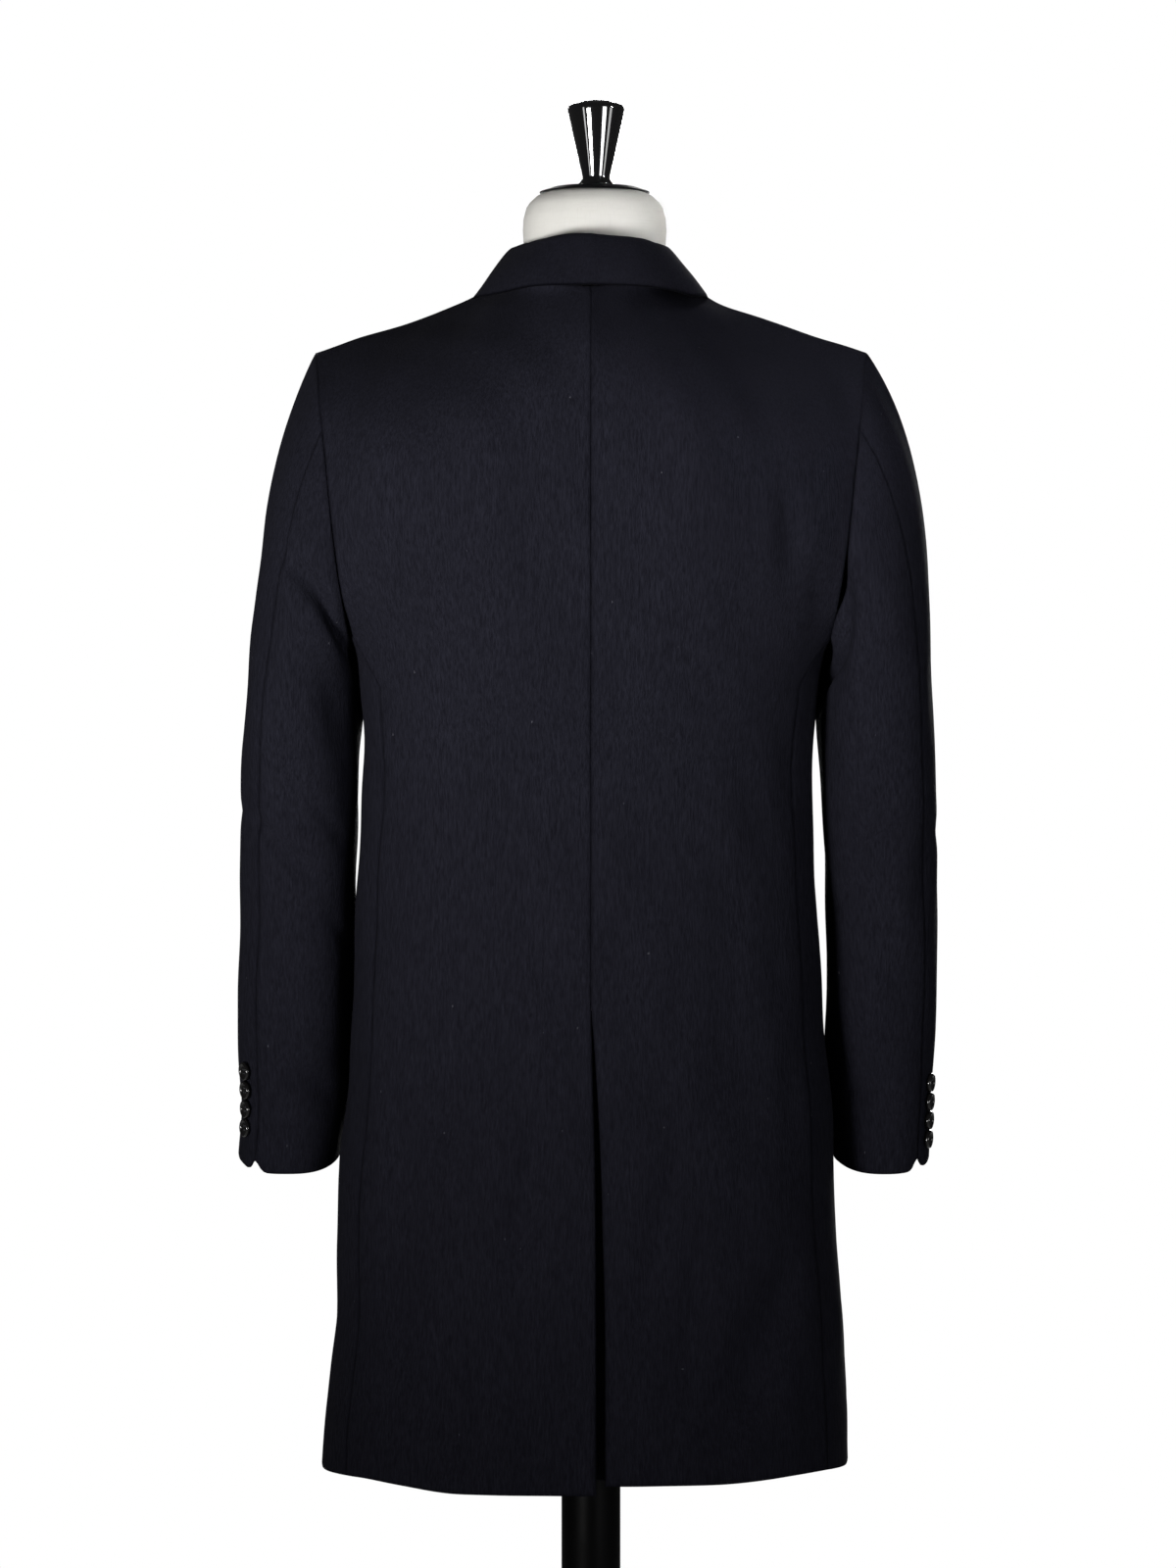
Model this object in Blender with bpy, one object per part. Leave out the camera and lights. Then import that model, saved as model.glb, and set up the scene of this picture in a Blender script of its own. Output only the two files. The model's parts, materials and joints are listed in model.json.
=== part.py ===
"""A single-breasted wool overcoat on a limbless dress form with its pole and base.

The frame is metres with +Z up and its origin under the middle of the base. The coat's front
faces -Y and the wearer's left is +X. Every cloth piece is a thin wall: a grid of points on the
outside of the cloth, a second grid one cloth thickness inside it, and rims between them.
"""

import math
from collections import namedtuple

import bmesh
import bpy
import numpy as np
from mathutils import Vector

# Cloth
CLOTH = 0.003  # wool with its turned edge
SEAM = 0.0003  # gap between two sewn pieces
LEFT, RIGHT = 1, -1
SIDE_NAMES = {LEFT: "left", RIGHT: "right"}
CURVE_STEPS = 24  # points worked out between two given ones

# Body of the coat
CHEST_Z = 1.200  # below this the body is made of level sections
ROUNDNESS = 2.4  # 2 is an ellipse, more is squarer
BACK_COLUMNS_NECK = 3
SHOULDER_COLUMNS = 12
UPPER_ROWS = 11
SIDE_SEAM_DEG = 28.0
BACK_DEG = 90.0
FRONT_EDGE_DEG = -96.0
UNDERLAP_IN = 0.0090  # how far the right front lies behind the left one
UNDERLAP_FROM_X, UNDERLAP_FADE = -0.075, 0.050
UNDERLAP_TOP_Z, UNDERLAP_FADE_Z = 1.36, 0.10
HEM_BACK_Z = {LEFT: 0.5610, RIGHT: 0.5685}
HEM_SIDE_Z = {LEFT: 0.5685, RIGHT: 0.5730}
HEM_FRONT_Z = 0.5620
HEM_RISE_X, HEM_RISE_OVER = 0.100, 0.090  # where the back hem starts to rise, and over what width

# Centre back vent: how far each panel's edge stands from the middle, and how deep the underlap lies
VENT_TOP_Z = 0.948
VENT_FADE = 6
Vent = namedtuple("Vent", "z left right depth")
VENT = [
    Vent(0.560, -0.0040, -0.0112, 0.0130),
    Vent(0.690, -0.0040, -0.0112, 0.0120),
    Vent(0.745, -0.0038, -0.0100, 0.0110),
    Vent(0.825, -0.0030, -0.0075, 0.0085),
    Vent(0.884, -0.0013, -0.0045, 0.0055),
    Vent(VENT_TOP_Z, 0.0, 0.0, 0.0030),
]
UNDERLAP_REACH = 0.034
UNDERLAP_ROWS = 10
UNDERLAP_SHORT = 0.003  # how far it ends above the hem

Section = namedtuple("Section", "z left right back front")
SECTIONS = [
    Section(0.562, 0.2186, 0.2098, 0.155, 0.150),
    Section(0.600, 0.2168, 0.2090, 0.153, 0.150),
    Section(0.645, 0.2120, 0.2072, 0.150, 0.149),
    Section(0.690, 0.2074, 0.2056, 0.147, 0.148),
    Section(0.750, 0.2070, 0.2000, 0.143, 0.146),
    Section(0.810, 0.2050, 0.1975, 0.139, 0.144),
    Section(0.870, 0.1982, 0.1955, 0.134, 0.141),
    Section(0.930, 0.1947, 0.1895, 0.129, 0.138),
    Section(1.000, 0.1925, 0.1860, 0.123, 0.134),
    Section(1.070, 0.1890, 0.1815, 0.119, 0.130),
    Section(1.110, 0.1865, 0.1805, 0.119, 0.130),
    Section(1.155, 0.1843, 0.1812, 0.123, 0.132),
    Section(CHEST_Z, 0.1840, 0.1820, 0.129, 0.135),
]

# Lines that bound the chest and shoulders, as points on the wearer's left
NECK_SIDE = (0.0780, -0.0030, 1.5330)
SHOULDER_POINT = (0.2255, -0.0050, 1.4750)
NECK_BACK = (0, 0.0930, 1.5215)
NECK_LINE = [(0.045, 0.070, 1.5255)]
SHOULDER_LINE = [(0.105, -0.006, 1.5165), (0.145, -0.008, 1.5015), (0.185, -0.008, 1.4885)]
# How full a column is where it leaves the chest section and where it reaches the shoulder
LEAVE_FULL, LEAVE_UP = 0.45, 1.74
ARRIVE_FULL, ARRIVE_UP = 4.2, 0.57
INSIDE_ARMHOLE = 0.0006
EASE_PASSES = 5  # each pass evens out the panel between its borders
UNDERARM_SEAM_TOP = (0.1870, 0.0500, 1.2420)
ARMHOLE_BACK = [
    (0.2030, 0.0730, 1.2770),
    (0.2075, 0.0790, 1.3250),
    (0.2130, 0.0700, 1.3750),
    (0.2200, 0.0450, 1.4350),
]
ARMHOLE_FRONT = [
    (0.1870, 0.0000, 1.2330),
    (0.1880, -0.0450, 1.2480),
    (0.1960, -0.0700, 1.3000),
    (0.2080, -0.0650, 1.3700),
    (0.2190, -0.0400, 1.4350),
]
ROLL_LINE = [
    (0.0000, -0.1330, 1.2700),
    (0.0200, -0.1240, 1.3500),
    (0.0380, -0.1090, 1.4200),
    (0.0540, -0.0860, 1.4720),
    (0.0690, -0.0430, 1.5120),
]

# Sleeves: each row is a level section below the armhole
Cuffward = namedtuple("Cuffward", "z outer_left outer_right inner_left inner_right front back")
SLEEVE = [
    Cuffward(1.195, 0.2806, 0.2782, 0.1905, 0.1890, 0.0760, 0.0700),
    Cuffward(1.150, 0.2846, 0.2806, 0.1900, 0.1885, 0.0780, 0.0640),
    Cuffward(1.100, 0.2866, 0.2825, 0.1905, 0.1890, 0.0800, 0.0560),
    Cuffward(1.050, 0.2872, 0.2834, 0.1925, 0.1915, 0.0820, 0.0490),
    Cuffward(1.000, 0.2872, 0.2836, 0.1938, 0.1930, 0.0850, 0.0430),
    Cuffward(0.950, 0.2892, 0.2840, 0.1955, 0.1936, 0.0880, 0.0370),
    Cuffward(0.900, 0.2890, 0.2808, 0.1975, 0.1965, 0.0920, 0.0300),
    Cuffward(0.860, 0.2874, 0.2795, 0.2005, 0.1982, 0.0950, 0.0240),
    Cuffward(0.805, 0.2895, 0.2775, 0.2065, 0.2008, 0.0980, 0.0180),
]
CUFF_RISE = 0.012  # the cuff's edge lies this much higher at its sides than behind, and twice in front
CAP_ROWS = 8
HEAD_OUT = {LEFT: 0.33, RIGHT: 0.51}  # how far the sleeve head stands out below the armhole
HIND_SEAM_DEG = {LEFT: 55.0, RIGHT: 47.0}
FORE_SEAM_DEG = 222.0


def smooth(table, column, z):
    """A column of a table at height z, on a curve through its rows."""
    rows = sorted(table, key=lambda row: row.z)
    heights = [row.z for row in rows]
    values = [getattr(row, column) for row in rows]
    slopes = np.gradient(values, heights)
    low = int(np.clip(np.searchsorted(heights, z) - 1, 0, len(rows) - 2))
    span = heights[low + 1] - heights[low]
    t = (z - heights[low]) / span
    return (
        values[low] * (1 + 2 * t) * (1 - t) ** 2
        + slopes[low] * span * t * (1 - t) ** 2
        + values[low + 1] * t * t * (3 - 2 * t)
        + slopes[low + 1] * span * t * t * (t - 1)
    )


def curve(points, count):
    """Count points evenly spaced along a smooth curve through the given ones."""
    pts = np.array(points, float)
    ends = np.vstack([2 * pts[0] - pts[1], pts, 2 * pts[-1] - pts[-2]])
    fine = []
    for before, start, end, after in zip(ends, ends[1:], ends[2:], ends[3:]):
        for t in np.linspace(0, 1, CURVE_STEPS, endpoint=False):
            bend = 2 * before - 5 * start + 4 * end - after
            twist = 3 * start - before - 3 * end + after
            fine.append(0.5 * (2 * start + (end - before) * t + bend * t**2 + twist * t**3))
    fine = np.array(fine + [pts[-1]])
    length = np.concatenate([[0], np.cumsum(np.linalg.norm(np.diff(fine, axis=0), axis=1))])
    wanted = np.linspace(0, length[-1], count)
    return np.stack([np.interp(wanted, length, fine[:, k]) for k in range(3)], axis=1)


def on_side(points, side):
    return np.array(points, float) * (side, 1, 1)


def squared(wave, roundness=ROUNDNESS):
    """A sine or cosine bent so that a circle of them becomes a rounded rectangle."""
    return math.copysign(abs(wave) ** (2 / roundness), wave)


def section_point(side, degrees, z):
    """A point of the body's level section: 90 is the centre back, 0 the side, -90 the centre front."""
    c = math.cos(math.radians(degrees))
    s = math.sin(math.radians(degrees))
    half = smooth(SECTIONS, SIDE_NAMES[side], z)
    depth = smooth(SECTIONS, "back" if s > 0 else "front", z)
    return np.array([side * half * squared(c), depth * squared(s), z])


def lower_heights():
    return [row.z for row in SECTIONS]


def swept(bottom, top):
    """One column from the chest section up to its top point, upright at first, then over the shoulder."""
    rise = top[2] - bottom[2]
    reach = bottom[1] - top[1]
    leave = np.array([0, LEAVE_FULL * reach, LEAVE_UP * rise])
    arrive = np.array([0, -ARRIVE_FULL * reach, ARRIVE_UP * rise])
    t = np.linspace(0, 1, UPPER_ROWS + 1)[:, None]
    return (
        bottom * (1 + 2 * t) * (1 - t) ** 2
        + leave * t * (1 - t) ** 2
        + top * t * t * (3 - 2 * t)
        + arrive * t * t * (t - 1)
    )


def upper_patch(bottom, top, first, last):
    """Rows of points over the chest or back, fitted to its two side lines and no wider than the armhole."""
    columns = np.stack([swept(b, t) for b, t in zip(bottom, top)], axis=1)
    across = np.linspace(0, 1, len(bottom))[None, :, None]
    first_miss = (first - columns[:, 0])[:, None, :]
    last_miss = (last - columns[:, -1])[:, None, :]
    patch = columns + first_miss * (1 - across) ** 2 + last_miss * across**2
    for _ in range(EASE_PASSES):
        around = patch[:-2, 1:-1] + patch[2:, 1:-1] + patch[1:-1, :-2] + patch[1:-1, 2:]
        patch[1:-1, 1:-1] = (patch[1:-1, 1:-1] + around / 4) / 2
    armhole_z = np.maximum.accumulate(last[:, 2])
    armhole_x = np.maximum(abs(last[:, 0]), UNDERARM_SEAM_TOP[0])
    widest = np.interp(patch[..., 2], armhole_z, armhole_x) - INSIDE_ARMHOLE
    widest[:, -1] = np.inf
    side = np.sign(top[-1, 0])
    patch[..., 0] = side * np.minimum(side * patch[..., 0], widest)
    return patch


def armhole(side, points):
    """The side line of a panel: up the side seam, then round the armhole to the shoulder point."""
    bottom = section_point(side, SIDE_SEAM_DEG, CHEST_Z)
    loop = curve(on_side([UNDERARM_SEAM_TOP, *points, SHOULDER_POINT], side), UPPER_ROWS)
    return np.vstack([bottom, loop])


def shoulder_seam(side):
    return curve(on_side([NECK_SIDE, *SHOULDER_LINE, SHOULDER_POINT], side), SHOULDER_COLUMNS + 1)


def hem_dropped(grid, side):
    """The lowest row moved to the hem's own height, which differs a little from panel to panel."""
    if grid[0, 0, 1] > 0:
        low, share = HEM_BACK_Z[side], np.clip((abs(grid[0, :, 0]) - HEM_RISE_X) / HEM_RISE_OVER, 0, 1)
        share = share * share * (3 - 2 * share)
        share /= share[-1]
    else:
        low, share = HEM_FRONT_Z, np.linspace(0, 1, grid.shape[1])
    grid[0, :, 2] = low + (HEM_SIDE_Z[side] - low) * share
    return grid


def back_grid(side):
    """Points of a back panel, hem to top, centre back to side."""
    neck = curve(on_side([NECK_BACK, *NECK_LINE, NECK_SIDE], side), BACK_COLUMNS_NECK + 1)
    top = np.vstack([neck[:-1], shoulder_seam(side)])
    chest = SECTIONS[-1]
    widest = abs(section_point(side, SIDE_SEAM_DEG, CHEST_Z)[0])
    shares = abs(top[:, 0]) / SHOULDER_POINT[0] * widest / getattr(chest, SIDE_NAMES[side])
    degrees = np.degrees(np.arccos(shares ** (ROUNDNESS / 2)))
    lower = [[section_point(side, d, z) for d in degrees] for z in lower_heights()]
    bottom = np.array(lower[-1])
    upper = upper_patch(bottom, top, swept(bottom[0], top[0]), armhole(side, ARMHOLE_BACK))
    grid = hem_dropped(np.concatenate([np.array(lower[:-1]), upper]), side)
    edge = [smooth(VENT, SIDE_NAMES[side], min(z, VENT_TOP_Z)) for z in grid[:, 0, 2]]
    fade = (1 - np.linspace(0, 1, len(top))) ** VENT_FADE
    grid[..., 0] += np.outer(edge, fade)
    return grid


def front_grid(side):
    """Points of a front panel, hem to top, button edge to side."""
    degrees = np.linspace(FRONT_EDGE_DEG, SIDE_SEAM_DEG, SHOULDER_COLUMNS + 1)
    lower = [[section_point(side, d, z) for d in degrees] for z in lower_heights()]
    bottom = lower[-1]
    roll = curve([bottom[0], *on_side(ROLL_LINE, side), on_side(NECK_SIDE, side)], UPPER_ROWS + 1)
    upper = upper_patch(bottom, shoulder_seam(side), roll, armhole(side, ARMHOLE_FRONT))
    grid = hem_dropped(np.concatenate([np.array(lower[:-1]), upper]), side)
    if side == RIGHT:
        near_edge = np.clip((grid[..., 0] - UNDERLAP_FROM_X) / UNDERLAP_FADE, 0, 1)
        below_roll = np.clip((UNDERLAP_TOP_Z - grid[..., 2]) / UNDERLAP_FADE_Z, 0, 1)
        tucked = np.where(grid[..., 1] < 0, near_edge * below_roll, 0)
        grid[..., 1] += UNDERLAP_IN * tucked * tucked * (3 - 2 * tucked)
    return grid


def sleeve_grid(side):
    """Points of a whole sleeve, armhole to cuff, round from the shoulder point over the back."""
    back = armhole(side, ARMHOLE_BACK)[1:][::-1]
    front = armhole(side, ARMHOLE_FRONT)[2:-1]
    loop = np.vstack([back, front])
    count = len(loop)
    hind = int(np.argmin(abs(back[:, 2] - 1.409)))
    under = len(back)
    fore = int(count * 0.72)
    seam_turns = [0, HIND_SEAM_DEG[side], 180, FORE_SEAM_DEG, 360]
    turns = np.interp(np.arange(count), [0, hind, under, fore, count], seam_turns)
    name = SIDE_NAMES[side]
    rings = []
    for row in SLEEVE:
        outer, inner = getattr(row, "outer_" + name), getattr(row, "inner_" + name)
        ring = []
        for turn in np.radians(turns):
            c, s = math.cos(turn), math.sin(turn)
            x = (outer + inner) / 2 + (outer - inner) / 2 * squared(c)
            y = (row.back - row.front) / 2 + (row.back + row.front) / 2 * squared(s)
            rise = CUFF_RISE * (1 - s) if row is SLEEVE[-1] else 0
            ring.append((side * x, y, row.z + rise))
        rings.append(ring)
    rings = np.array(rings)
    cap = []
    for point, turn, end, below in zip(loop, np.radians(turns), rings[0], rings[1]):
        reach = np.linalg.norm(end - point)
        swell = HEAD_OUT[side] + 0.10 * math.cos(turn)
        leave = np.array([side * swell, 0.15 * math.sin(turn), -0.85]) * reach
        arrive = (below - end) / np.linalg.norm(below - end) * reach
        t = np.linspace(0, 1, CAP_ROWS + 1)[:-1, None]
        cap.append(
            point * (1 + 2 * t) * (1 - t) ** 2
            + leave * t * (1 - t) ** 2
            + end * t * t * (3 - 2 * t)
            + arrive * t * t * (t - 1)
        )
    return np.concatenate([np.stack(cap, axis=1), rings]), hind, fore


def cell_normals(grid):
    """Unit normals of a grid's cells, all on one side of it."""
    across = grid[1:, 1:] - grid[:-1, :-1]
    back = grid[1:, :-1] - grid[:-1, 1:]
    normals = np.cross(across, back)
    return normals / np.maximum(np.linalg.norm(normals, axis=2, keepdims=True), 1e-12)


def facing_out(grid, axis):
    """The cell normals turned to point away from an upright axis."""
    normals = cell_normals(grid)
    middles = (grid[1:, 1:] + grid[:-1, :-1]) / 2
    away = (middles - (*axis, 0)) * (1, 1, 0)
    return normals if (normals * away).sum() > 0 else -normals


def key_of(point):
    return tuple(np.round(point * 1e5).astype(int))


def shared_normals(panels):
    """Normals at every grid point, the same on both sides of a seam."""
    totals = {}
    cells = {name: facing_out(grid, axis) for name, (grid, axis) in panels.items()}
    corners = ((0, 0), (0, 1), (1, 0), (1, 1))
    for name, (grid, _) in panels.items():
        for r, c in np.ndindex(cells[name].shape[:2]):
            for dr, dc in corners:
                key = key_of(grid[r + dr, c + dc])
                totals[key] = totals.get(key, 0) + cells[name][r, c]
    result = {}
    for name, (grid, _) in panels.items():
        normals = np.array([[totals[key_of(point)] for point in row] for row in grid])
        result[name] = normals / np.linalg.norm(normals, axis=2, keepdims=True)
    return result


def pulled_back(grid, normals):
    """Each border moved off its seam by half the gap, so that two sewn pieces stay apart."""
    shift = np.zeros_like(grid)
    for border, inside in (((0,), (1,)), ((-1,), (-2,))):
        for turn in (False, True):
            g, n, s = (a.swapaxes(0, 1) if turn else a for a in (grid, normals, shift))
            line = g[border[0]]
            along = np.gradient(line, axis=0)
            out = np.cross(n[border[0]], along)
            out /= np.maximum(np.linalg.norm(out, axis=1, keepdims=True), 1e-12)
            side = np.sign(((g[inside[0]] - line) * out).sum(axis=1, keepdims=True))
            s[border[0]] += out * side * SEAM * 0.6
    return grid + shift


def wall(name, outer, inner, material):
    """A closed wall between two grids of points."""
    rows, columns = outer.shape[:2]
    points = np.concatenate([outer.reshape(-1, 3), inner.reshape(-1, 3)])
    under = rows * columns

    def at(r, c, layer=0):
        return layer * under + r * columns + c

    faces = []
    for r in range(rows - 1):
        for c in range(columns - 1):
            faces.append((at(r, c), at(r, c + 1), at(r + 1, c + 1), at(r + 1, c)))
            faces.append((at(r, c, 1), at(r + 1, c, 1), at(r + 1, c + 1, 1), at(r, c + 1, 1)))
    border = [(0, c) for c in range(columns - 1)]
    border += [(r, columns - 1) for r in range(rows - 1)]
    border += [(rows - 1, c) for c in range(columns - 1, 0, -1)]
    border += [(r, 0) for r in range(rows - 1, 0, -1)]
    for a, b in zip(border, border[1:] + border[:1]):
        faces.append((at(*b), at(*a), at(*a, 1), at(*b, 1)))
    mesh = bpy.data.meshes.new(name)
    mesh.from_pydata(points.tolist(), [], faces)
    return finished(name, mesh, material)


def finished(name, mesh, material):
    """An object with its faces turned outwards."""
    shape = bmesh.new()
    shape.from_mesh(mesh)
    bmesh.ops.recalc_face_normals(shape, faces=shape.faces)
    if shape.calc_volume(signed=True) < 0:
        bmesh.ops.reverse_faces(shape, faces=shape.faces)
    shape.to_mesh(mesh)
    shape.free()
    mesh.materials.append(material)
    obj = bpy.data.objects.new(name, mesh)
    bpy.context.collection.objects.link(obj)
    return obj


def plain_material(name, colour, roughness, metallic=0.0):
    material = bpy.data.materials.new(name)
    material.use_nodes = True
    shader = material.node_tree.nodes["Principled BSDF"]
    shader.inputs["Base Color"].default_value = (*colour, 1)
    shader.inputs["Roughness"].default_value = roughness
    shader.inputs["Metallic"].default_value = metallic
    return material


def lathe(name, profile, material, sides=28):
    """A turned solid from (radius, height) pairs, listed upwards from the axis back to the axis."""
    mesh = bpy.data.meshes.new(name)
    shape = bmesh.new()
    ring_of = []
    for radius, z in profile:
        if radius == 0:
            ring_of.append([shape.verts.new((0, 0, z))])
            continue
        turns = [2 * math.pi * k / sides for k in range(sides)]
        ring_of.append([shape.verts.new((radius * math.cos(t), radius * math.sin(t), z)) for t in turns])
    for low, high in zip(ring_of, ring_of[1:]):
        for k in range(sides):
            after = k + 1
            corners = [low[k % len(low)], low[after % len(low)], high[after % len(high)], high[k % len(high)]]
            shape.faces.new(list(dict.fromkeys(corners)))
    shape.to_mesh(mesh)
    shape.free()
    return finished(name, mesh, material)


def loft(name, table, material, sides=32, roundness=2.3):
    """A closed solid through level sections with half width, back and front depth."""
    mesh = bpy.data.meshes.new(name)
    shape = bmesh.new()
    rings = []
    for row in table:
        ring = []
        for k in range(sides):
            c, s = math.cos(2 * math.pi * k / sides), math.sin(2 * math.pi * k / sides)
            depth = row.back if s > 0 else row.front
            x = row.middle + row.half * squared(c, roundness)
            ring.append(shape.verts.new((x, depth * squared(s, roundness), row.z)))
        rings.append(ring)
    for low, high in zip(rings, rings[1:]):
        for k in range(sides):
            after = (k + 1) % sides
            shape.faces.new((low[k], low[after], high[after], high[k]))
    shape.faces.new(rings[0][::-1])
    shape.faces.new(rings[-1])
    shape.to_mesh(mesh)
    shape.free()
    return finished(name, mesh, material)


# Dress form, its cap, finial, pole and base
Bust = namedtuple("Bust", "z half back front middle")
FORM = [
    Bust(0.8000, 0.140, 0.094, 0.090, 0),
    Bust(0.8060, 0.150, 0.103, 0.099, 0),
    Bust(0.8200, 0.155, 0.108, 0.104, 0),
    Bust(0.9000, 0.160, 0.108, 0.108, 0),
    Bust(1.0000, 0.158, 0.102, 0.108, 0),
    Bust(1.0800, 0.150, 0.097, 0.106, 0),
    Bust(1.2000, 0.160, 0.108, 0.114, 0),
    Bust(1.3000, 0.170, 0.117, 0.110, 0),
    Bust(1.3800, 0.176, 0.115, 0.095, 0),
    Bust(1.4300, 0.180, 0.104, 0.075, 0),
    Bust(1.4600, 0.184, 0.068, 0.054, 0),
    Bust(1.4750, 0.182, 0.042, 0.042, 0),
    Bust(1.4835, 0.166, 0.031, 0.036, 0),
    Bust(1.4950, 0.136, 0.025, 0.032, 0),
    Bust(1.5100, 0.096, 0.027, 0.031, 0),
    Bust(1.5250, 0.072, 0.040, 0.037, -0.001),
    Bust(1.5400, 0.0595, 0.055, 0.049, -0.002),
    Bust(1.5600, 0.0580, 0.057, 0.055, -0.003),
    Bust(1.5850, 0.0575, 0.057, 0.055, -0.003),
    Bust(1.5960, 0.0530, 0.053, 0.051, -0.003),
    Bust(1.6030, 0.0440, 0.044, 0.042, -0.003),
    Bust(1.6070, 0.0330, 0.033, 0.031, -0.003),
    Bust(1.6085, 0.0200, 0.020, 0.019, -0.003),
]
CAP = [
    (0.0205, 1.6090),
    (0.0345, 1.6074),
    (0.0445, 1.6041),
    (0.0450, 1.6052),
    (0.0350, 1.6087),
    (0.0210, 1.6104),
]
CAP_LOW_Z, CAP_TOP_Z = 1.6090, 1.6106
FINIAL_X = -0.0045
FINIAL = [
    (0.0155, 1.6109),
    (0.0135, 1.6135),
    (0.0110, 1.6165),
    (0.0232, 1.6710),
    (0.0236, 1.6740),
    (0.0215, 1.6765),
    (0.0120, 1.6795),
]
FINIAL_TOP_Z = 1.6805
POLE_RADIUS = 0.024
POLE_FOOT_Z = 0.030
BASE_RADIUS = 0.190
BASE = [
    (BASE_RADIUS, 0.0),
    (BASE_RADIUS, 0.006),
    (0.186, 0.011),
    (0.120, 0.019),
    (0.050, 0.027),
    (0.040, POLE_FOOT_Z),
]


def rod(radius, low, high):
    """The profile of a plain rod that ends a seam gap short of what is under and over it."""
    return [(0, low + SEAM), (radius, low + SEAM), (radius, high - SEAM), (0, high - SEAM)]


def build_form():
    linen = plain_material("form_linen", (0.72, 0.70, 0.65), 0.85)
    black_gloss = plain_material("black_lacquer", (0.01, 0.01, 0.011), 0.12)
    black_satin = plain_material("black_satin_paint", (0.012, 0.012, 0.013), 0.45)
    loft("form_torso", FORM, linen)
    cap = lathe("neck_cap", [(0, CAP_LOW_Z), *CAP, (0, CAP_TOP_Z)], black_satin)
    cap.location.x = FORM[-1].middle
    finial = lathe("finial", [(0, FINIAL[0][1]), *FINIAL, (0, FINIAL_TOP_Z)], black_gloss)
    finial.location.x = FINIAL_X
    lathe("pole", rod(POLE_RADIUS, POLE_FOOT_Z, FORM[0].z), black_satin)
    lathe("base", [(0, 0), *BASE, (0, POLE_FOOT_Z)], black_satin, sides=40)


# Collar: how its neck seam, fold and lower edge run from the centre back to the front
Station = namedtuple("Station", "seam fold edge")
COLLAR = [
    Station((0.0000, 0.0900, 1.5245), (0.0000, 0.0760, 1.5645), (0.0000, 0.1090, 1.5220)),
    Station((0.0420, 0.0740, 1.5275), (0.0330, 0.0680, 1.5640), (0.0520, 0.0970, 1.5220)),
    Station((0.0690, 0.0380, 1.5330), (0.0570, 0.0370, 1.5615), (0.0840, 0.0560, 1.5230)),
    Station((0.0770, -0.0020, 1.5370), (0.0655, -0.0020, 1.5590), (0.0960, 0.0000, 1.5270)),
    Station((0.0700, -0.0420, 1.5190), (0.0650, -0.0420, 1.5420), (0.1010, -0.0480, 1.5090)),
    Station((0.0620, -0.0720, 1.4960), (0.0600, -0.0760, 1.5160), (0.0990, -0.0850, 1.4830)),
    Station((0.0560, -0.0920, 1.4760), (0.0550, -0.0960, 1.4880), (0.0960, -0.1040, 1.4560)),
]
COLLAR_STEPS = 9
STAND_THICK = 0.0030


def collar_section(seam, fold, edge):
    """The folded section of the collar: up inside the stand, over the fold, down the fall and back."""
    out = (edge - seam) * (1, 1, 0)
    out /= np.linalg.norm(out)
    up = np.array([0, 0, 1.0])
    half = STAND_THICK / 2
    crotch = fold + ((seam + edge) / 2 - fold) * 0.33
    fall = edge - fold
    return [
        seam - out * half,
        fold - out * 0.0030 - up * 0.0060,
        fold - out * 0.0012 - up * 0.0012,
        fold + out * 0.0014 - up * 0.0006,
        fold + fall * 0.16 + out * 0.0024,
        fold + fall * 0.55 + out * 0.0022,
        edge,
        edge - out * STAND_THICK - up * 0.0006,
        crotch,
        seam + out * half,
    ]


def build_collar(wool):
    """One closed tube of collar sections from the left front end round the neck to the right."""
    lines = []
    for field in Station._fields:
        half_line = curve([getattr(station, field) for station in COLLAR], COLLAR_STEPS)
        lines.append(np.vstack([half_line[:0:-1], half_line * (-1, 1, 1)]))
    sections = [collar_section(*points) for points in zip(*lines)]
    mesh = bpy.data.meshes.new("collar")
    shape = bmesh.new()
    rings = [[shape.verts.new(point) for point in section] for section in sections]
    for near, far in zip(rings, rings[1:]):
        for k in range(len(near)):
            after = (k + 1) % len(near)
            shape.faces.new((near[k], near[after], far[after], far[k]))
    shape.faces.new(rings[0][::-1])
    shape.faces.new(rings[-1])
    shape.to_mesh(mesh)
    shape.free()
    finished("collar", mesh, wool)


# Lapels: width of the turned-back facing, by rows of the front panel above the chest section
Turn = namedtuple("Turn", "row width")
LAPEL = [
    Turn(0.3, 0.006),
    Turn(1.0, 0.020),
    Turn(2.0, 0.036),
    Turn(3.0, 0.050),
    Turn(4.0, 0.062),
    Turn(5.0, 0.073),
    Turn(6.0, 0.083),
    Turn(6.9, 0.092),
    Turn(7.4, 0.080),
    Turn(7.9, 0.058),
    Turn(8.3, 0.036),
]
LAPEL_COLUMNS = 6
LAPEL_OFF = 0.0016


def on_row(grid, normals, row, distance):
    """A point and its normal on a grid, a distance in from the first column."""
    low = int(row)
    share = row - low
    line = grid[low] * (1 - share) + grid[min(low + 1, len(grid) - 1)] * share
    across = normals[low] * (1 - share) + normals[min(low + 1, len(grid) - 1)] * share
    steps = np.concatenate([[0], np.cumsum(np.linalg.norm(np.diff(line, axis=0), axis=1))])
    point = np.array([np.interp(distance, steps, line[:, k]) for k in range(3)])
    normal = np.array([np.interp(distance, steps, across[:, k]) for k in range(3)])
    return point, normal / np.linalg.norm(normal)


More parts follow.
